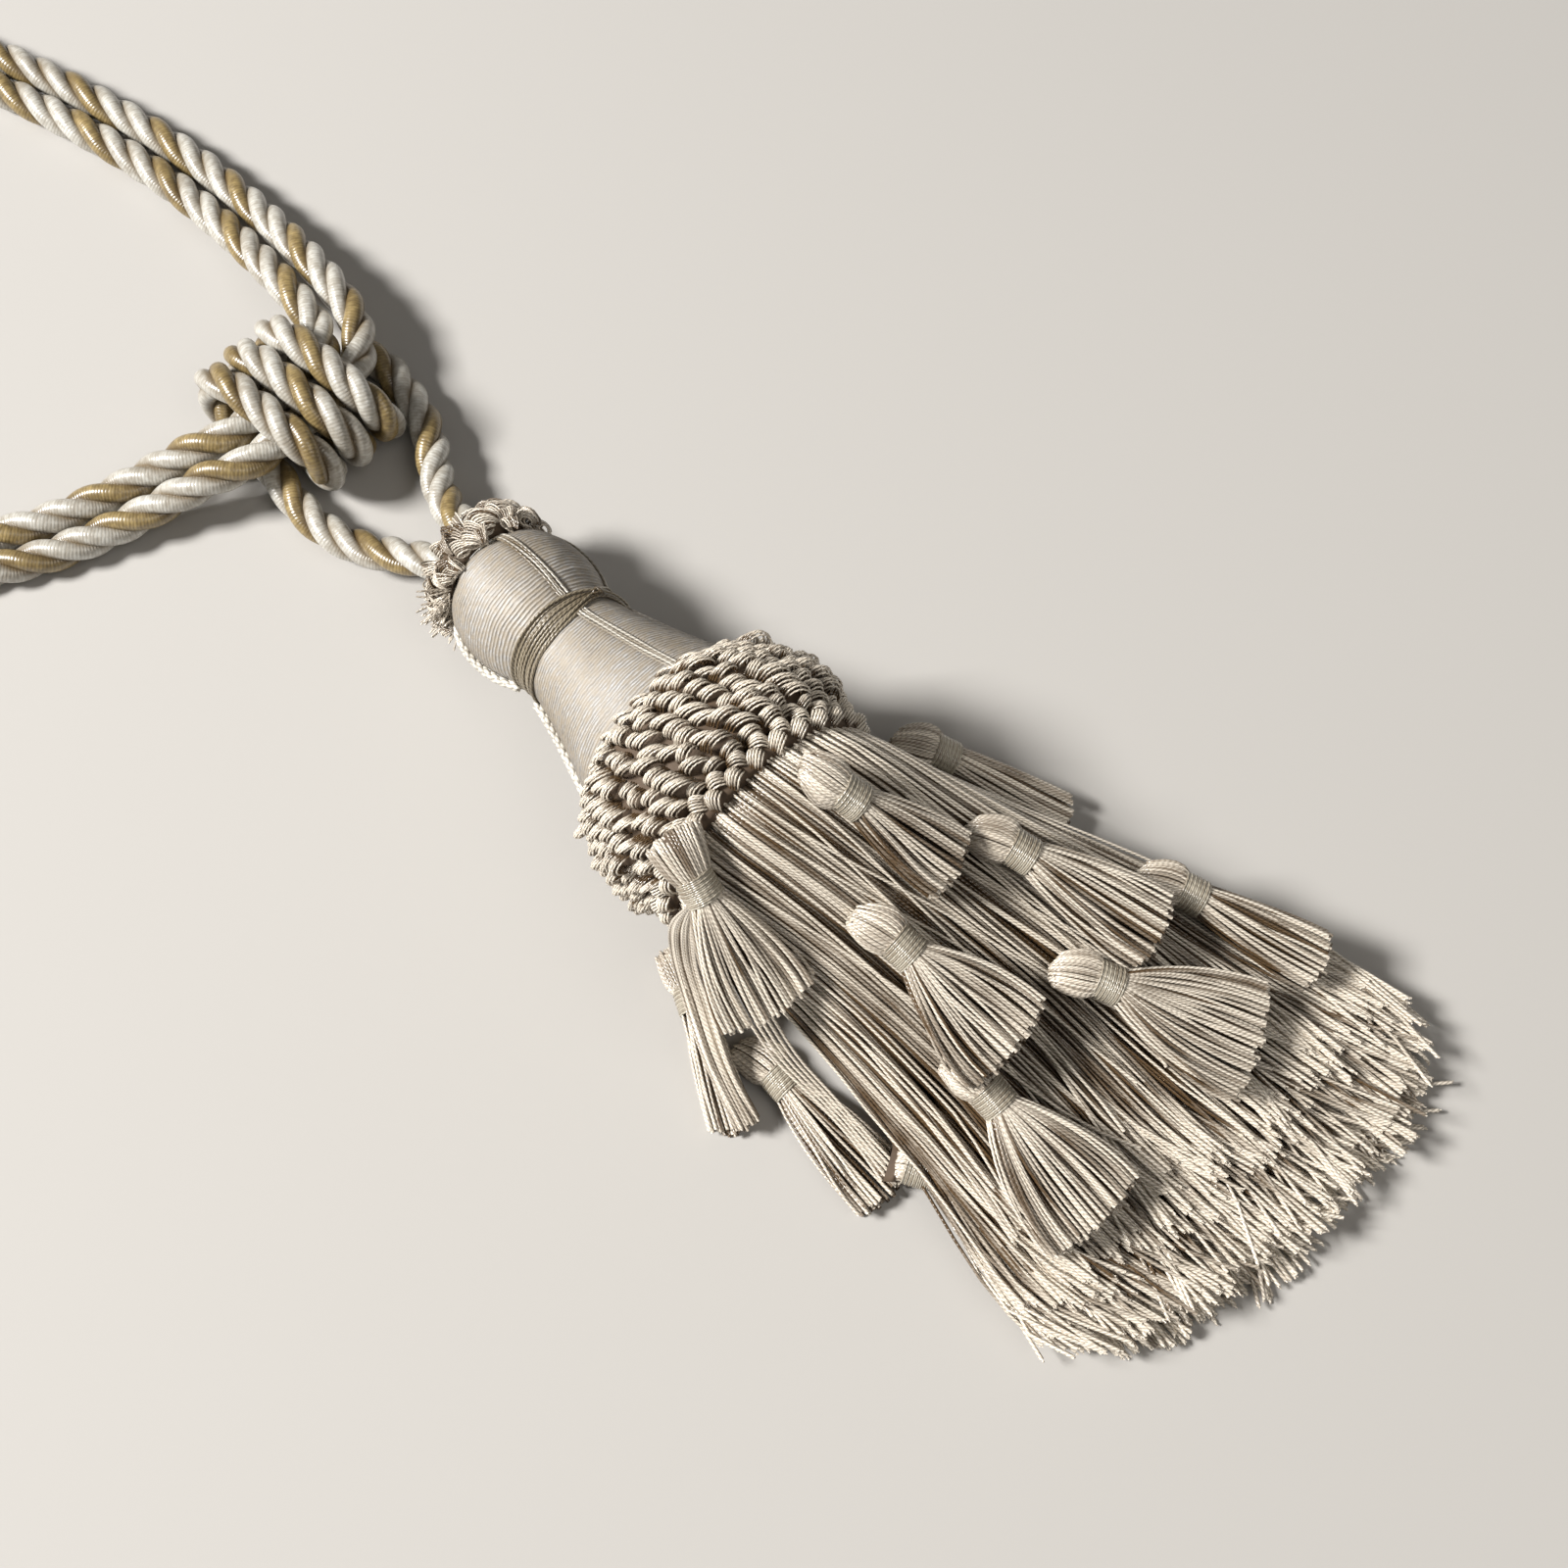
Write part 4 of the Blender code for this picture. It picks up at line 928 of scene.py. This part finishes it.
SUNK_SHARE, SUNK_BY = 0.3, 1.1          # yarns that sink between the others
LONGEST_CUT = 4.0                # how far a yarn may run past the others
SKIRT_STRAYS = [
    # single yarns across the others: degrees from the top, drift, bend, x of the cut end
    (30.0, 16.0, 7.0, 128.0), (38.0, -15.0, -8.0, 118.0), (8.0, 14.0, 5.0, 150.0),
    (-6.0, -16.0, -6.0, 146.0), (-64.0, -6.0, 3.0, 126.0), (-58.0, -9.0, 2.0, 130.0),
    (-70.0, 4.0, 4.0, 122.0), (16.0, 24.0, -6.0, 140.0), (-20.0, 30.0, 8.0, 132.0),
    (2.0, -26.0, -6.0, 136.0), (14.0, 30.0, 4.0, 120.0), (24.0, -24.0, 6.0, 134.0),
    (-35.0, 22.0, -5.0, 140.0), (40.0, -20.0, 4.0, 126.0), (-12.0, 28.0, 10.0, 112.0),
    (6.0, 34.0, -8.0, 148.0), (34.0, 12.0, -9.0, 150.0), (-44.0, 14.0, 6.0, 134.0),
]
ACROSS_DEPTH = -0.7              # they lie on top of the rest
ACROSS_SHADE = 0.7
TUFT_RADIUS = 0.19
chance = np.random.default_rng(52)


def skirt_point(x, angle, depth):
    """Points of the sunk skirt: angle 0 is its top, depth is measured inwards from its surface."""
    middle, half_width, low, high, flat = (softened(SKIRT_FORM, x, column) for column in (1, 2, 3, 4, 5))
    turn = np.radians(angle)
    folded = np.arcsin(np.sin(turn)) * 2 / math.pi
    across = (1 - flat) * np.sin(turn) + flat * folded
    lift = np.sign(np.cos(turn)) * np.abs(np.cos(turn)) ** (1 - SKIRT_BOXINESS * flat)
    half_height = (high - low) / 2
    z = (low + high) / 2 + (half_height - np.minimum(depth, half_height * 0.9)) * lift
    z = np.where(np.cos(turn) < 0, np.maximum(z - SKIRT_SETTLE, 0.0), z)
    return np.stack([x, middle + (half_width - depth) * across, z], axis=-1)


def skirt_yarn(root, depth, end, drift, bend, waver, hook):
    """One yarn from under the braid to its cut end. It drifts, bends and hooks with its bunch, and wavers.

    The root and the three ways it goes are in degrees round the skirt, from its top.
    """
    along, out = np.array(SKIRT_HEADING).T
    heading = about_axis(along, out - 0.6 * depth, root)
    x = np.linspace(SKIRT_FROM_X, end, SKIRT_POINTS)
    own = (x - SKIRT_FROM_X) / 100.0
    phase = chance.uniform(0, math.tau, 3)
    wave = waver * (np.sin(own * 8.0 + phase[0]) + 0.6 * np.sin(own * 17.0 + phase[1])) * np.sqrt(own)
    angle = root + drift * (0.45 * own + 0.9 * own**3) + bend * np.sin(own * 4.2) + wave
    angle = angle + hook * np.clip((own - 0.62) / 0.4, 0.0, 1.3) ** 2
    sunk = np.maximum(depth + 0.6 * np.sin(own * 11.0 + phase[2]) * own, min(depth, 0.0))
    yarn = np.vstack([heading, skirt_point(x, angle, sunk)])
    for _ in range(3):
        yarn[1:7] = 0.25 * yarn[:6] + 0.5 * yarn[1:7] + 0.25 * yarn[2:8]
    return yarn


points = len(SKIRT_HEADING) + SKIRT_POINTS
tip = np.concatenate([np.ones(points - 2), [1.15, 1.35]]) * SKIRT_YARN_RADIUS
pale_tip = np.concatenate([np.zeros(points - 3), [0.3, 0.7, 1.1]])
# Painted shade: every yarn is darker half way between the braid and its cut end.
painted_mid_shade = 0.35 * np.sin(np.linspace(0, math.pi, points))     # darker between the braid and the cut ends
shaded = np.concatenate([np.ones(points - 4), [0.95, 0.85, 0.6, 0.4]])    # how deep in shadow a yarn is
guides, thick, shades, tufts, tuft_shades = [], [], [], [], []
for count, yarns, depth, round_to, shorter, tufts_each in SKIRT_LAYERS:
    for bunch in range(count):
        middle = 360.0 * (bunch + 0.5) / count + chance.normal(0, 1.8) - 180.0
        if abs(middle) > round_to:
            continue
        on_top = max(0.0, math.cos(math.radians(middle))) ** 0.35
        cut = chance.normal(0, 2.6) - on_top * shorter
        sink, tone = chance.uniform(0, 0.5), chance.normal(0, 0.3)
        veer, bend = chance.normal(0, 6.5), chance.normal(0, 2.5)
        width = 360.0 / count * chance.uniform(1.0, 1.4)
        squeeze, hook = width * chance.uniform(0.05, 0.35), chance.normal(0, 8.0)
        for k in range(yarns):
            place = (k + 0.5) / yarns * 2 - 1 + chance.normal(0, 0.14)
            stray = chance.random() < STRAY_SHARE
            own_drift = veer + chance.normal(0, 8.0 if stray else 3.0)
            own_depth = STRAY_DEPTH
            if depth >= 1 or not stray:
                own_depth = depth + sink + 0.3 * place**2 + chance.uniform(-0.2, 0.9)
            if chance.random() < SUNK_SHARE and not stray:
                own_depth += SUNK_BY
            root, own_hook = middle + place * width * 0.5, hook - place * squeeze
            ends_at = math.radians(root + 1.2 * own_drift + 0.8 * own_hook)
            end = np.interp(math.asin(math.sin(ends_at)) * 2 / math.pi, *np.array(SKIRT_END).T)
            end = min(end + cut + chance.normal(0, 0.7), end + LONGEST_CUT)
            yarn = skirt_yarn(root, own_depth, end, own_drift, bend, chance.uniform(0.1, 0.8), own_hook)
            shade = tone + chance.normal(0.65, 0.6)
            guides.append(yarn)
            thick.append(tip)
            # Painted shade: a yarn is darker the deeper it lies, less so near its cut end, and darker half
            # way.
            shades.append(shade - 0.9 * min(own_depth, 2.2) * shaded + pale_tip - painted_mid_shade)
            ahead = (yarn[-1] - yarn[-2]) / np.linalg.norm(yarn[-1] - yarn[-2])
            for _ in range(tufts_each):
                splay = chance.normal(0, 0.18, 3)
                reach = chance.uniform(0.1, 0.6)
                lengths = np.outer([-0.8, 0.4 * reach, reach], ahead)
                tufts.append(yarn[-1] + lengths + np.outer([0.0, 0.6, 1.1], splay))
                tuft_shades.append(max(shade, 0.2) + 0.9)
for root, drift, bend, end in SKIRT_STRAYS:
    guides.append(skirt_yarn(root, ACROSS_DEPTH, end, drift, bend, 1.2, chance.normal(0, 6.0)))
    thick.append(tip)
    shades.append(ACROSS_SHADE)
guides = [off_table(g, SKIRT_YARN_RADIUS + 0.05) for g in guides]
fringe = sweep_strands("skirt_yarns", guides, thick, yarn_finish, sides=4, shades=shades)
dress(fringe, "yarn", "skirt_fringe")

# The cut ends have opened into their single threads.
tufts = [off_table(g, TUFT_RADIUS + 0.01) for g in tufts]
tips = sweep_strands("skirt_cut_ends", tufts, [TUFT_RADIUS] * len(tufts), yarn_finish, sides=3,
                     shades=tuft_shades)
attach(tips, "root")

# ---- the small tassels ---------------------------------------------------------------------------
# Ten small tassels hang over the skirt and beside it. Each is a hank of yarn folded over at the top,
# bound round with thread to make a head, and cut level below.
SMALL_TASSELS = [
    # name, neck x, y, z, cut end x, y, z, width there
    ("a", 57.0, -22.3, 43.8, 79.0, -27.0, 29.6, 17.5), ("b", 61.8, -31.0, 3.2, 85.0, -43.2, 1.7, 8.0),
    ("c", 84.5, -30.6, 3.2, 113.2, -32.2, 2.2, 13.0), ("d", 88.0, -4.0, 35.4, 113.4, -2.6, 29.6, 20.0),
    ("e", 65.4, 6.0, 48.6, 85.6, 12.2, 38.2, 13.2), ("f", 64.8, 34.2, 14.0, 89.2, 45.0, 4.4, 8.0),
    ("g", 90.6, 23.8, 33.0, 118.2, 31.8, 25.6, 14.4), ("h", 116.6, 43.6, 19.6, 142.6, 52.3, 14.6, 11.0),
    ("i", 116.6, 19.0, 24.4, 143.4, 31.0, 17.8, 21.5), ("j", 115.6, -10.2, 24.0, 143.4, -12.0, 18.0, 21.0),
]
SMALL_NECK = (3.0, 2.7)          # half width and half thickness under the binding
SMALL_HEAD = (4.2, 3.0)
SMALL_OWN = {                    # these two flop the other way, and the first has a long full head
    "a": {"head": 9.5, "flop": 0.6, "full": 5.2, "fan_shade": 0.75},
    "e": {"flop": 0.6},
}
SMALL_YARN_RADIUS = 0.29
HEAD_FROM = -1.6                 # where the head leaves the binding, from the neck's middle
HEAD_YARNS = 26
HEAD_POINTS = 15
BAND_TURNS = 13
BAND_RADIUS = 0.215
BAND_LENGTH = 5.0
BAND_PALE = (0.56, 0.52, 0.43)
FAN_FROM = 2.0
FAN_ROWS = 5
FAN_SPACING = 0.72
FAN_TIPS = np.array([1, 1, 1, 1, 1, 1, 1.1, 1.25])          # the yarn's thickness along it
FAN_SHADOW = np.array([1, 1, 1, 1, 1, 0.9, 0.6, 0.3])       # and how deep in shadow it is
CORE_POINTS = 14
FALL_LEFT = [                    # the outer edge of the yarns of a that fall over b, and the inner one
    (54.8, -28.0, 30.0), (55.8, -30.0, 18.0), (60.0, -32.5, 11.0), (71.5, -38.3, 7.6), (84.6, -43.3, 3.4),
]
FALL_RIGHT = [
    (60.0, -26.2, 32.0), (63.0, -28.8, 21.0), (68.0, -31.0, 14.0), (77.0, -35.6, 8.6), (86.4, -38.2, 3.4),
]
FALLEN_YARNS = 64
FALLEN_THICKNESS = 1.8
LONG_FALL = [                    # the first of the long yarns over c, and how far the next lies from it
    (75.0, -29.5, 21.0), (83.0, -30.4, 15.0), (93.0, -30.0, 11.0), (103.0, -30.4, 8.0), (110.5, -31.6, 6.2),
]
LONG_FALL_STEP = [(0.5, 0.9, 0.0), (0.6, 0.8, 0.0), (0.0, 0.7, 0.0), (0.0, 0.7, 0.0), (0.8, 0.9, 0.0)]
LONG_YARNS = 5
FALL_STEP = 3.0                  # between a fallen yarn's points

band_finish = strand_finish("satin_band", BAND_PALE, YARN_DEEP, YARN_GROOVE_SHADE, 1.2, 1.0, 0.2, 0.24)


def head_yarns(place, chance, head, flop, full):
    """The head's yarns, with their thickness and shade. Each goes up below, folds and comes back on top."""
    turn = np.linspace(-1.57, 1.57, HEAD_POINTS)
    fullness = np.clip(np.cos(turn), 0, 1)
    closing = fullness**0.7 if full > SMALL_HEAD[0] else np.sin(math.pi * fullness**0.8)
    belly = SMALL_NECK[0] + (full - SMALL_NECK[0]) * closing
    yarns = []
    for k in range(HEAD_YARNS):
        across = np.sin((k + 0.5) / HEAD_YARNS * math.pi - math.pi / 2)
        fold = 1 - 0.16 * across**2
        along = HEAD_FROM - (head * fold + chance.normal(0, 0.2)) * np.cos(turn)
        height = SMALL_HEAD[1] * np.sin(turn) * math.sqrt(1.05 - across**2)
        lift = height * (1 - 0.2 * np.abs(turn / 1.57) ** 6)
        lean = flop * ((along - HEAD_FROM) / head) ** 2
        guide = place(along, lean + across * belly + chance.normal(0, 0.1), lift + chance.normal(0, 0.08))
        yarns.append((guide, SMALL_YARN_RADIUS, chance.normal(0.15, 0.35)))
    return yarns


def fan_yarns(place, chance, length, width, fan_shade):
    """The yarns below the neck, in rows from the top one down, opened out to this width at the cut."""
    count = max(12, round(width / FAN_SPACING))
    steps = np.linspace(0, 1, len(FAN_TIPS))
    open_out = np.sin(steps * math.pi / 2) ** 0.9
    yarns = []
    for row in range(FAN_ROWS):
        v = 1 - 2 * row / (FAN_ROWS - 1)
        sunk = 1.5 if v > 0 else 3.4    # the under side has sunk on to the skirt
        for k in range(count):
            u = (k + 0.5) / count * 2 - 1 + chance.normal(0, 1.1) / count
            cut = length - 1.6 * u * u - 0.5 * max(v, 0) + chance.normal(0, 0.35)
            across = u * (SMALL_NECK[0] * math.sqrt(1 - v * v / 2) * (1 - open_out) + width / 2 * open_out)
            lift = v * (SMALL_NECK[1] * math.sqrt(1 - u * u / 2) * (1 - open_out) + sunk * open_out)
            across = across + chance.normal(0, 0.4) * steps + chance.normal(0, 0.2) * np.sin(steps * 5)
            guide = place(FAN_FROM + steps * (cut - FAN_FROM), across, lift + chance.normal(0, 0.2) * steps)
            # Painted shadow: lower rows are darker where the rows above shade them, less so at the sides and
            # cut.
            painted_under_shadow = 1.35 * row * max(0.0, 1 - u**4) * FAN_SHADOW
            yarns.append((guide, FAN_TIPS * SMALL_YARN_RADIUS, chance.normal(fan_shade, 0.7) - painted_under_shadow))
    return yarns


def fallen_yarns(chance, neck, ahead, side):
    """The yarns that fall over the small tassel beside this one, and a few that run on over the next."""
    yarns = []
    for _ in range(FALLEN_YARNS):
        fall, lift = chance.random(), chance.uniform(0.0, FALLEN_THICKNESS)
        route = (1 - fall) * np.array(FALL_LEFT) + fall * np.array(FALL_RIGHT) + (0.0, -0.3 * lift, lift)
        route[-1, 0] += chance.normal(0, 0.5)
        start = neck + 1.8 * ahead - (SMALL_NECK[0] - 1.2 * fall) * side
        # Painted shade: the lower of the fallen yarns are darker.
        shade = chance.normal(0.5, 0.5) - 0.9 * (FALLEN_THICKNESS - lift)
        yarns.append((smooth_route([start, *route], FALL_STEP), SMALL_YARN_RADIUS, shade))
    for k in range(LONG_YARNS):
        route = np.array(LONG_FALL) + k * np.array(LONG_FALL_STEP)
        yarns.append((smooth_route(route, FALL_STEP), SMALL_YARN_RADIUS, 0.8))
    return yarns


def small_tassel(name, neck, end, width, head=9.0, flop=-1.8, full=SMALL_HEAD[0], fan_shade=0.3):
    """A small tassel from its neck to its cut end. Its head is so long, leans so far and is so full."""
    chance = np.random.default_rng(ord(name) * 7)
    neck, end = np.array(neck), np.array(end)
    length = np.linalg.norm(end - neck)
    ahead = (end - neck) / length
    side = np.cross((0.0, 0.0, 1.0), ahead)
    side /= np.linalg.norm(side)
    up = np.cross(ahead, side)

    def place(along, across, lift):
        along, across, lift = (np.asarray(v, float)[..., None] for v in (along, across, lift))
        return off_table(neck + along * ahead + across * side + lift * up, SMALL_YARN_RADIUS + 0.05)

    yarns = head_yarns(place, chance, head, flop, full)
    yarns += fan_yarns(place, chance, length, width, fan_shade)
    if name == "a":
        yarns += fallen_yarns(chance, neck, ahead, side)
    guides, thick, shades = zip(*yarns)
    hank = sweep_strands(f"small_tassel_{name}_yarns", guides, thick, yarn_finish, sides=5, shades=shades)

    turns = np.linspace(0, BAND_TURNS, BAND_TURNS * 20 + 1)
    snug = 0.4 + 0.06 * np.sin(turns * 2.9)
    around = turns * math.tau
    wound = place(BAND_LENGTH * (turns / BAND_TURNS - 0.5), (SMALL_NECK[0] + snug) * np.sin(around),
                  -(SMALL_NECK[1] + snug) * np.cos(around))
    band = sweep_strands(f"small_tassel_{name}_band", [wound], [BAND_RADIUS], band_finish, sides=6,
                         shades=[0.2 + 0.5 * np.sin(turns * 9.1)])

    # A dark core in painted shadow colour fills the hank, where only shade would show between the yarns.
    section = np.radians(np.arange(CORE_POINTS) * 360 / CORE_POINTS)
    rings = []
    for along, size in (
        (-1.2 - head, 0.3), (-0.7 - head, 0.6), (0.9 - head, 0.82), (-5.5, 0.88), (-3.0, 0.72), (0.0, 0.68),
        (3.0, 0.6), (9.0, 0.4),
    ):
        lean = flop * (min(along - HEAD_FROM, 0.0) / head) ** 2
        across = lean + size * SMALL_HEAD[0] * np.sin(section)
        lift = size * (SMALL_HEAD[1] - 0.6) * np.cos(section)
        rings.append(place(np.full(CORE_POINTS, along), across, lift))
    core = skin(f"small_tassel_{name}_core", np.stack(rings), painted_shadow_finish)
    return joined(f"small_tassel_{name}_hank", [hank, band, core])


for name, x, y, z, end_x, end_y, end_z, width in SMALL_TASSELS:
    hank = small_tassel(name, (x, y, z), (end_x, end_y, end_z), width, **SMALL_OWN.get(name, {}))
    dress(hank, "yarn", f"small_tassel_{name}")

# One more lies half buried: only its neck comes out from under the skirt's left edge.
buried = small_tassel("k", (113.6, -25.4, 6.0), (134.0, -15.0, 4.0), 12.0, 3.2, -0.4, SMALL_NECK[0])
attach(buried, "root")

# ---- the table and the light ---------------------------------------------------------------------
# A plain pale matt floor under the tassel. A large soft light stands beyond the head on the left, and a
# much weaker one over the skirt.
FLOOR_COLOUR = (0.49, 0.478, 0.46, 1.0)
FLOOR_HALF_WIDTH = 3

floor = bpy.data.objects.new("floor", bpy.data.meshes.new("floor"))
corners = [(x * FLOOR_HALF_WIDTH, y * FLOOR_HALF_WIDTH, 0) for x, y in ((-1, -1), (1, -1), (1, 1), (-1, 1))]
floor.data.from_pydata(corners, [], [(0, 1, 2, 3)])
matt = bpy.data.materials.new("pale_floor")
matt.use_nodes = True
matt_shader = matt.node_tree.nodes["Principled BSDF"]
matt_shader.inputs["Base Color"].default_value = FLOOR_COLOUR
matt_shader.inputs["Roughness"].default_value = 0.9
floor.data.materials.append(matt)
scene.collection.objects.link(floor)


def soft_light(name, place, size, watts, colour):
    """A square soft light that faces the middle of the tassel."""
    lamp = bpy.data.objects.new(name, bpy.data.lights.new(name, "AREA"))
    lamp.data.size = size
    lamp.data.energy = watts
    lamp.data.color = colour
    lamp.location = place
    lamp.rotation_euler = (-lamp.location).to_track_quat("-Z", "Y").to_euler()
    scene.collection.objects.link(lamp)


soft_light("key", (-1.10, -1.14, 1.48), 0.50, 84.0, (1.0, 0.975, 0.94))
soft_light("fill", (0.5, 0.1, 0.9), 0.6, 1.9, (1.0, 0.955, 0.89))
sky = bpy.data.worlds.new("studio")
scene.world = sky
sky.use_nodes = True
sky_shader = sky.node_tree.nodes["Background"]
sky_shader.inputs["Color"].default_value = (1.0, 0.965, 0.92, 1.0)
sky_shader.inputs["Strength"].default_value = 0.10
scene.view_settings.view_transform = "Standard"
